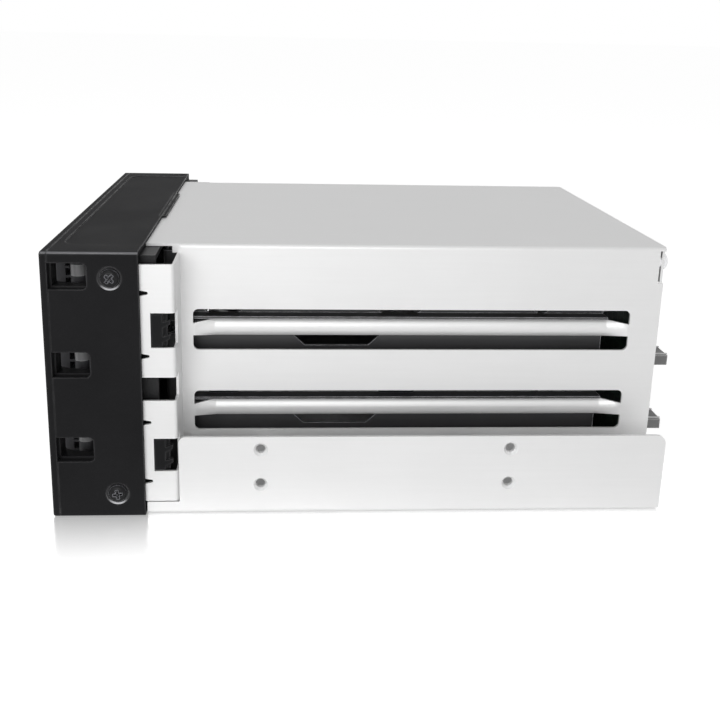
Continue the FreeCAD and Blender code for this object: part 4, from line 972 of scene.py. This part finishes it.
@dataclass
class Bezel:
    """Front frame and sleeve with softly rounded mould edges."""

    palette: Palette
    rounding: float = 0.22
    seat_radii: Span = (3.65, 3.12)
    seat_depth: float = 0.45
    tongue_span: Span = (-26.0, 20.0)
    tongue_reach: float = 1.4
    tongue_drops: Span = (0.95, 0.3)

    def open_seats(self, sleeve: Piece) -> None:
        """Flare the mouth of each screw seat and give the flare a glossy finish whose lighter colour paints a
        highlight.

        Args:
            sleeve: The sleeve's copy.
        """
        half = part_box("bezel_sleeve")[1][0] * 1000.0
        spots = [(side, level) for side in (-1, 1) for level in BEZEL_SCREW_LEVELS]
        flares = [start_cone("flare", (side * (half + 0.02), BEZEL_SCREW_DEPTH, level),
                             (side * (half - self.seat_depth), BEZEL_SCREW_DEPTH, level), self.seat_radii)
                  for side, level in spots]
        carve(sleeve, gather("flares", flares))
        flatten_shading(sleeve)
        self.palette.dress(sleeve, "black_bezel_plastic")
        # The flare takes the glossy seat finish, whose colour paints a highlight.
        sleeve.data.materials.append(self.palette.built["glossy_seat_painted_highlight"])
        for face in sleeve.data.polygons:
            middle = face.center * 1000.0
            slanted = 0.2 < abs(face.normal.x) < 0.95
            near = min(math.hypot(middle.y - BEZEL_SCREW_DEPTH, middle.z - level)
                       for level in BEZEL_SCREW_LEVELS)
            if slanted and near < self.seat_radii[0] + 0.1 and abs(middle.x) > half - 1.0:
                face.material_index = 1

    def top_tongue(self) -> Piece:
        """Model the tongue that laps over the front edge of the steel cover."""
        low, high = (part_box("bezel_sleeve")[1][2] * 1000.0 - drop for drop in self.tongue_drops)
        start, end = self.tongue_span
        tongue = start_box("top_tongue", (start, SLEEVE_BACK - 1.0, low),
                           (end, SLEEVE_BACK + self.tongue_reach, high))
        with Bench(tongue) as bench:
            bench.pick(lambda middle, normal: normal.y > 0.9)
            bench.resize((0.96, 1.0, 0.7), ((start + end) / 2.0, SLEEVE_BACK, low))
        soften(tongue, 0.12, 2)
        return tongue

    def build(self) -> None:
        """Build both mouldings."""
        sleeve = softened_copy("bezel_sleeve", "bezel_sleeve_moulding", self.rounding)
        self.open_seats(sleeve)
        tongue = self.top_tongue()
        self.palette.dress(tongue, "black_bezel_plastic")
        gather("bezel_sleeve_moulding", [sleeve, tongue])
        fit(sleeve, "root", Slot.BLACK, "bezel_sleeve")
        mould(self.palette, "front_frame", "front_frame_moulding", self.rounding, "black_bezel_plastic",
              "root", Slot.BLACK)


@dataclass
class TrayDress:
    """Finishes and small parts of one sliding tray."""

    palette: Palette
    bay: str
    hinge_place: Span = (60.0, -88.9)
    guard_radii: Span = (2.1, 2.38)
    guard_span: Span = (18.45, 22.05)
    front_rounding: float = 0.18
    lever_rounding: float = 0.16
    button_rounding: float = 0.2

    def spring_guard(self) -> Piece:
        """Model the smooth barrel that closes round the hinge spring between the two bosses."""
        x, y = self.hinge_place
        low, high = (BAY_FLOOR[self.bay] + level for level in self.guard_span)
        inner, outer = self.guard_radii
        guard = start_rod("spring_guard_" + self.bay, (x, y, low), (x, y, high), outer, 48)
        carve(guard, start_rod("bore", (x, y, low - 1.0), (x, y, high + 1.0), inner, 48))
        shade(guard, 30.0)
        self.palette.dress(guard, "pale_guard_plastic")
        return guard

    def build(self) -> None:
        """Soften the mouldings and dress the steel parts."""
        bay = self.bay
        mould(self.palette, "tray_front_" + bay, "tray_front_moulding_" + bay, self.front_rounding,
              "black_tray_plastic", "tray_" + bay, Slot.BLACK)
        lever = softened_copy("tray_lever_" + bay, "lever_moulding_" + bay, self.lever_rounding)
        self.palette.dress(lever, "lever_plastic")
        gather("lever_moulding_" + bay, [lever, self.spring_guard()])
        fit(lever, "lever_" + bay, Slot.LEVER, "tray_lever_" + bay)
        mould(self.palette, "release_button_" + bay, "button_moulding_" + bay, self.button_rounding,
              "button_plastic", "button_" + bay, Slot.BUTTON)
        for kind, finish in (("tray_frame_", "tray_sheet"), ("lever_pin_", "bright_fastener"),
                             ("lever_spring_", "oiled_spring"), ("button_spring_", "bright_fastener"),
                             ("light_pipes_", "clear_guide_plastic")):
            self.palette.dress(frame["nodes"][kind + bay], finish)


@dataclass
class SteelBody:
    """Cover, base and rivets."""

    palette: Palette
    side_face: float = 73.0
    bolt_depths: Span = (-32.425, 46.825)
    bolt_levels: Span = (10.0, 21.84)
    mouth_radii: Span = (2.3, 1.5)
    mouth_depth: float = 0.9
    notch_levels: tuple[float, ...] = (11.4, 31.2, 52.8, 72.7)
    notch_half: float = 0.5
    notch_span: Span = (SLEEVE_BACK - 0.5, SLEEVE_BACK + 1.9)
    notch_flare: float = 1.9

    def flared_base(self) -> None:
        """Build the base with the drawn, flared mouths of its four bolt holes on each side."""
        base = softened_copy("base_tray", "base_tray_sheet", 0.1, 1)
        mouths = []
        for side in (-1, 1):
            for depth in self.bolt_depths:
                for level in self.bolt_levels:
                    mouths.append(start_cone("mouth", (side * (self.side_face + 0.02), depth, level),
                                             (side * (self.side_face - self.mouth_depth), depth, level),
                                             self.mouth_radii))
        carve(base, gather("mouths", mouths))
        flatten_shading(base)
        deliver(self.palette, base, "zinc_plated_sheet", "root", Slot.ZINC, "base_tray")

    def notched_cover(self) -> None:
        """Build the cover, with its slits behind the bezel opened to flared notches with round ends."""
        cover = merged_copy("cage_shell", "cage_shell_sheet")
        start, end = self.notch_span
        for side in (-1, 1):
            low, high = sorted((side * (self.side_face - 5.0), side * (self.side_face + 1.0)))
            for level in self.notch_levels:
                mouth = start_box("notch", (low, start, level - self.notch_half),
                                  (high, end, level + self.notch_half))
                with Bench(mouth) as bench:
                    bench.pick(lambda middle, normal: normal.y < -0.9)
                    bench.resize((1.0, 1.0, self.notch_flare), (0, 0, level))
                carve(cover, mouth)
                carve(cover, start_rod("notch_end", (low, end, level), (high, end, level),
                                       self.notch_half, 20))
        shade(cover, 35.0)
        flatten_shading(cover)
        deliver(self.palette, cover, "zinc_plated_sheet", "root", Slot.ZINC, "cage_shell")

    def build(self) -> None:
        """Build the cover and the base, and dress the small steel nodes."""
        self.notched_cover()
        self.flared_base()
        for name in ("base_rivets", "board_spacers"):
            self.palette.dress(frame["nodes"][name], "bright_fastener")


@dataclass
class Backplane:
    """Board, sockets and rear plugs with their small electronic parts."""

    palette: Palette
    connector_rounding: float = 0.12
    contact_place: Span = (88.2, 6.6)
    contact_pitch: float = 1.27
    blade_size: Point = (0.8, 3.6, 0.25)
    can_radius: float = 3.1
    can_length: float = 7.6
    can_foot: float = 0.4
    rail_offsets: Span = (0.5, 7.6)
    rail_width: float = 0.6
    chip_levels: Span = (0.15, 1.45)
    dimple_radius: float = 0.45
    leg_levels: Span = (0.02, 0.7)
    leg_half: float = 0.2
    leg_reach: float = 1.1
    pocket_share: float = 0.55

    def chip(self, name: str, x: float, z: float, width: float, height: float, legs: int) -> None:
        """Model a flat chip with two rows of legs on the board's rear face.

        Args:
            name: Name of the piece.
            x: Middle across.
            z: Middle of its height.
            width: Width of its body.
            height: Height of its body.
            legs: Legs in each row.
        """
        under, top = (BOARD_BACK + level for level in self.chip_levels)
        case = start_box(name, (x - width / 2, under, z - height / 2), (x + width / 2, top, z + height / 2))
        with Bench(case) as bench:
            bench.pick(lambda middle, normal: normal.y > 0.9)
            bench.resize((0.96, 1.0, 0.96), (x, BOARD_BACK, z))
        across, level = x - width * 0.36, z + height * 0.34
        carve(case, start_rod("dimple", (across, top - 0.1, level), (across, BOARD_BACK + 2.0, level),
                              self.dimple_radius, 20))
        soften(case, 0.08, 2)
        deliver(self.palette, case, "dark_connector_plastic", "root", Slot.DARK)
        foot, shoulder = (BOARD_BACK + level for level in self.leg_levels)
        rows = []
        for number in range(legs):
            across = x + width * (-0.44 + 0.88 * number / (legs - 1))
            for side in (-1, 1):
                edge = z + side * height / 2
                low, high = sorted((edge - side * 0.1, edge + side * self.leg_reach))
                leg = start_box("leg", (across - self.leg_half, foot, low),
                                (across + self.leg_half, shoulder, high))
                with Bench(leg) as bench:
                    bench.pick(lambda middle, normal: normal.z * side > 0.9)
                    bench.resize((1.0, 0.3, 1.0), (across, BOARD_BACK, z))
                rows.append(leg)
        deliver(self.palette, gather(name + "_legs", rows), "bright_fastener", "root", Slot.BRIGHT)

    def can(self, name: str, x: float, z: float) -> None:
        """Model a capacitor can with its foot plate and scored top.

        Args:
            name: Name of the piece.
            x: Middle across.
            z: Middle of its height.
        """
        radius, tall = self.can_radius, self.can_length
        half = radius + self.can_foot
        base = start_box(name + "_seat", (x - half, BOARD_BACK + 0.02, z - half),
                         (x + half, BOARD_BACK + 0.9, z + half))
        soften(base, 0.35, 3)
        deliver(self.palette, base, "dark_connector_plastic", "root", Slot.DARK)
        body = start_rod(name, (x, BOARD_BACK + 0.8, z), (x, BOARD_BACK + tall, z), radius, 40)
        with Bench(body) as bench:
            bench.pick(lambda middle, normal: normal.y > 0.9)
            bench.shrink(0.35)
            bench.push((0, -0.15, 0))
        for reach, width in ((radius * 0.75, 0.12), (0.12, radius * 0.75)):
            carve(body, start_box("score", (x - reach, BOARD_BACK + tall - 0.3, z - width),
                                  (x + reach, BOARD_BACK + tall + 1.0, z + width)))
        soften(body, 0.12, 2, angle=40.0)
        deliver(self.palette, body, "bright_fastener", "root", Slot.BRIGHT)

    def contacts(self, name: str, first: Point, count: int) -> None:
        """Model a row of gold contact blades.

        Args:
            name: Name of the piece.
            first: Middle of the first blade.
            count: Number of blades.
        """
        half = Vector(self.blade_size) / 2.0
        blades = []
        for number in range(count):
            middle = Vector(first) + Vector((number * self.contact_pitch, 0.0, 0.0))
            blades.append(start_box("blade", tuple(middle - half), tuple(middle + half)))
        row = gather(name, blades)
        soften(row, 0.04, 1)
        deliver(self.palette, row, "gold_contact", "root", Slot.BRIGHT)

    def power_plug(self, bay: str) -> None:
        """Model a rear power plug with two top rails and a framed pocket in its end.

        Args:
            bay: Which of the two plugs.
        """
        plug = softened_copy("power_plug_" + bay, "power_plug_moulding_" + bay, 0.15)
        low, high = (corner * 1000.0 for corner in map(Vector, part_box("power_plug_" + bay)))
        start, end = BOARD_BACK + 4.4, high.y
        pocket_end = start + (end - start) * self.pocket_share
        carve(plug, start_box("pocket", (high.x - 0.6, start, low.z + 0.5),
                              (high.x + 1.0, pocket_end, high.z - 0.5)))
        parts = [plug]
        for offset in self.rail_offsets:
            rail = start_box("rail", (high.x - offset - self.rail_width, start, high.z - 0.1),
                             (high.x - offset, end - 0.3, high.z + 0.3))
            soften(rail, 0.1, 2)
            # The rail's pale colour is a painted highlight along the plug's top steps.
            self.palette.dress(rail, "connector_rib_painted_highlight")
            parts.append(rail)
        key = start_box("key", (high.x - 0.7, start + 0.8, low.z + 1.2),
                        (high.x - 0.1, pocket_end - 0.9, high.z - 1.2))
        soften(key, 0.12, 2)
        parts.append(key)
        for piece in (plug, key):
            self.palette.dress(piece, "grey_connector_plastic")
        joined = gather("power_plug_moulding_" + bay, parts)
        fit(joined, "root", Slot.GREY, "power_plug_" + bay)

    def build(self) -> None:
        """Dress the board and add what is soldered to it."""
        self.palette.dress(frame["nodes"]["backplane_board"], "dark_solder_mask")
        for bay in BAYS:
            floor = BAY_FLOOR[bay]
            for kind in ("drive_socket_", "data_plug_"):
                mould(self.palette, kind + bay, kind + "moulding_" + bay, self.connector_rounding,
                      "dark_connector_plastic", "root", Slot.DARK)
            depth, rise = self.contact_place
            for kind, first, count in (("power", -18.0, 15), ("data", 7.4, 7)):
                self.contacts("socket_%s_contacts_%s" % (kind, bay), (first, depth, floor + rise), count)
            self.chip("bay_chip_" + bay, -2.0, floor + 5.2, 6.0, 4.4, 7)
        for bay in ("lower", "upper"):
            self.power_plug(bay)
        for name, x, z in (("one", 4.0, 54.0), ("two", -6.0, 54.0), ("three", 4.0, 26.6)):
            self.can("smoothing_can_" + name, x, z)


# Camera, lamps and floor


@dataclass(frozen=True)
class Viewpoint:
    """Camera that stands where the photographer's did."""

    place: Point = (330.6, -26.8, 149.4)
    focal_pixels: float = 895.4
    pitch: float = 13.85
    yaw: float = 3.35
    roll: float = 1.25
    shift: Span = (0.04, -0.15)
    sensor_width: float = 36.0
    picture_width: float = 720.0

    def build(self) -> Piece:
        """Make the camera.

        Returns:
            The scene's camera.
        """
        pitch, yaw, roll = (math.radians(angle) for angle in (self.pitch, self.yaw, self.roll))
        ahead = Vector((-math.cos(pitch) * math.cos(yaw), math.cos(pitch) * math.sin(yaw), -math.sin(pitch)))
        level = ahead.cross(Vector((0.0, 0.0, 1.0))).normalized()
        over = level.cross(ahead)
        right = level * math.cos(roll) + over * math.sin(roll)
        up = over * math.cos(roll) - level * math.sin(roll)
        lens = bpy.data.cameras.new("studio_camera")
        lens.sensor_width = self.sensor_width
        lens.lens = self.focal_pixels * self.sensor_width / self.picture_width
        lens.shift_x, lens.shift_y = self.shift
        lens.clip_start = 0.01
        lens.clip_end = 20.0
        camera = bpy.data.objects.new("studio_camera", lens)
        bpy.context.scene.collection.objects.link(camera)
        turn = Matrix((right, up, -ahead)).transposed().to_4x4()
        camera.matrix_world = Matrix.Translation(metres(self.place)) @ turn
        bpy.context.scene.camera = camera
        return camera


@dataclass(frozen=True)
class SoftLamp:
    """Rectangular studio lamp aimed at a point."""

    name: str
    place: Point
    aim: Point
    width: float
    height: float
    power: float

    def build(self) -> None:
        """Make the lamp."""
        data = bpy.data.lights.new(self.name, "AREA")
        data.shape = "RECTANGLE"
        data.size = self.width
        data.size_y = self.height
        data.energy = self.power
        lamp = bpy.data.objects.new(self.name, data)
        bpy.context.scene.collection.objects.link(lamp)
        ahead = Vector(self.aim) - Vector(self.place)
        turn = ahead.to_track_quat("-Z", "Y").to_matrix().to_4x4()
        lamp.matrix_world = Matrix.Translation(Vector(self.place)) @ turn


@dataclass
class Studio:
    """White surroundings, lamps and a white floor that mirrors only what stands close to it."""

    ambient: float = 0.31
    floor_lift: float = 0.74
    footprint: Span = (0.0735, 0.0965)
    gloss_reach: float = 0.03
    gloss_share: float = 0.75
    near_lift: float = 0.5
    gloss_roughness: float = 0.16
    matt_colour: tuple[float, ...] = (0.8, 0.8, 0.8, 1.0)
    gloss_colour: tuple[float, ...] = (0.9, 0.9, 0.9, 1.0)
    floor_size: float = 40.0
    floor_level: float = -0.0002
    lamps: tuple[SoftLamp, ...] = (
        SoftLamp("side_lamp", (0.8, -0.2, 0.25), (0.0, 0.0, 0.04), 0.6, 0.4, 2.8),
        SoftLamp("front_lamp", (0.25, -0.85, 0.35), (0.0, -0.05, 0.04), 0.5, 0.5, 0.5),
        SoftLamp("top_lamp", (0.55, -0.25, 0.85), (0.0, 0.0, 0.04), 0.17, 0.17, 0.65),
        SoftLamp("rear_lamp", (0.05, 0.9, 0.45), (0.0, 0.05, 0.04), 0.5, 0.5, 0.42),
    )

    def seen_rays(self, sheet: NodeSheet) -> Socket:
        """Give 1 for camera, glossy and transmission rays."""
        path = sheet.add("ShaderNodeLightPath")
        first = sheet.maths("MAXIMUM", path.outputs["Is Camera Ray"], path.outputs["Is Glossy Ray"])
        return sheet.maths("MAXIMUM", first, path.outputs["Is Transmission Ray"])

    def build_world(self) -> None:
        """Make the white world that lights softly."""
        world = bpy.data.worlds.new("studio_white")
        world.use_nodes = True
        bpy.context.scene.world = world
        sheet = NodeSheet(world.node_tree)
        level = sheet.ranged(self.seen_rays(sheet), (0.0, 1.0), (self.ambient, 1.0))
        light = sheet.add("ShaderNodeBackground", {"Color": WHITE, "Strength": level})
        sheet.add("ShaderNodeOutputWorld", {"Surface": light.outputs[0]})

    def gloss_fade(self, sheet: NodeSheet) -> Socket:
        """Give the share of gloss, which falls to nothing away from the object's footprint."""
        places = sheet.add("ShaderNodeTexCoord")
        parts = sheet.split(places.outputs["Object"])
        past = [sheet.maths("SUBTRACT", sheet.maths("ABSOLUTE", parts[name], 0.0), half)
                for name, half in zip(("X", "Y"), self.footprint)]
        away = sheet.maths("MAXIMUM", past[0], past[1])
        return sheet.ranged(away, (0.0, self.gloss_reach), (self.gloss_share, 0.0))

    def build_floor(self) -> None:
        """Make the white floor with a short, soft reflection."""
        clear_selection()
        bpy.ops.mesh.primitive_plane_add(size=self.floor_size, location=(0.0, 0.0, self.floor_level))
        floor = bpy.context.active_object
        floor.name = "studio_floor"
        material = bpy.data.materials.new("pale_floor")
        material.use_nodes = True
        sheet = NodeSheet(material.node_tree)
        fade = self.gloss_fade(sheet)
        matt = sheet.add("ShaderNodeBsdfDiffuse", {"Color": self.matt_colour})
        gloss = sheet.add("ShaderNodeBsdfGlossy", {"Roughness": self.gloss_roughness,
                                                   "Color": self.gloss_colour})
        both = sheet.add("ShaderNodeMixShader", {0: fade, 1: matt.outputs[0], 2: gloss.outputs[0]})
        dim = sheet.ranged(fade, (0.0, self.gloss_share), (self.floor_lift, self.floor_lift * self.near_lift))
        glow = sheet.maths("MULTIPLY", self.seen_rays(sheet), dim)
        lift = sheet.add("ShaderNodeEmission", {"Color": WHITE, "Strength": glow})
        total = sheet.add("ShaderNodeAddShader", {0: both.outputs[0], 1: lift.outputs[0]})
        sheet.add("ShaderNodeOutputMaterial", {"Surface": total.outputs[0]})
        floor.data.materials.append(material)

    def build(self) -> None:
        """Build the world, the floor and the lamps."""
        self.build_world()
        self.build_floor()
        for lamp in self.lamps:
            lamp.build()
        bpy.context.scene.view_settings.view_transform = "Standard"


def main() -> None:
    """Build the cage's looks in order."""
    Viewpoint().build()
    Studio().build()
    palette = Palette()
    palette.build()
    SteelBody(palette).build()
    Bezel(palette).build()
    for bay in BAYS:
        TrayDress(palette, bay).build()
    Backplane(palette).build()
    Fasteners(palette).build()


if __name__ == "__main__":
    main()
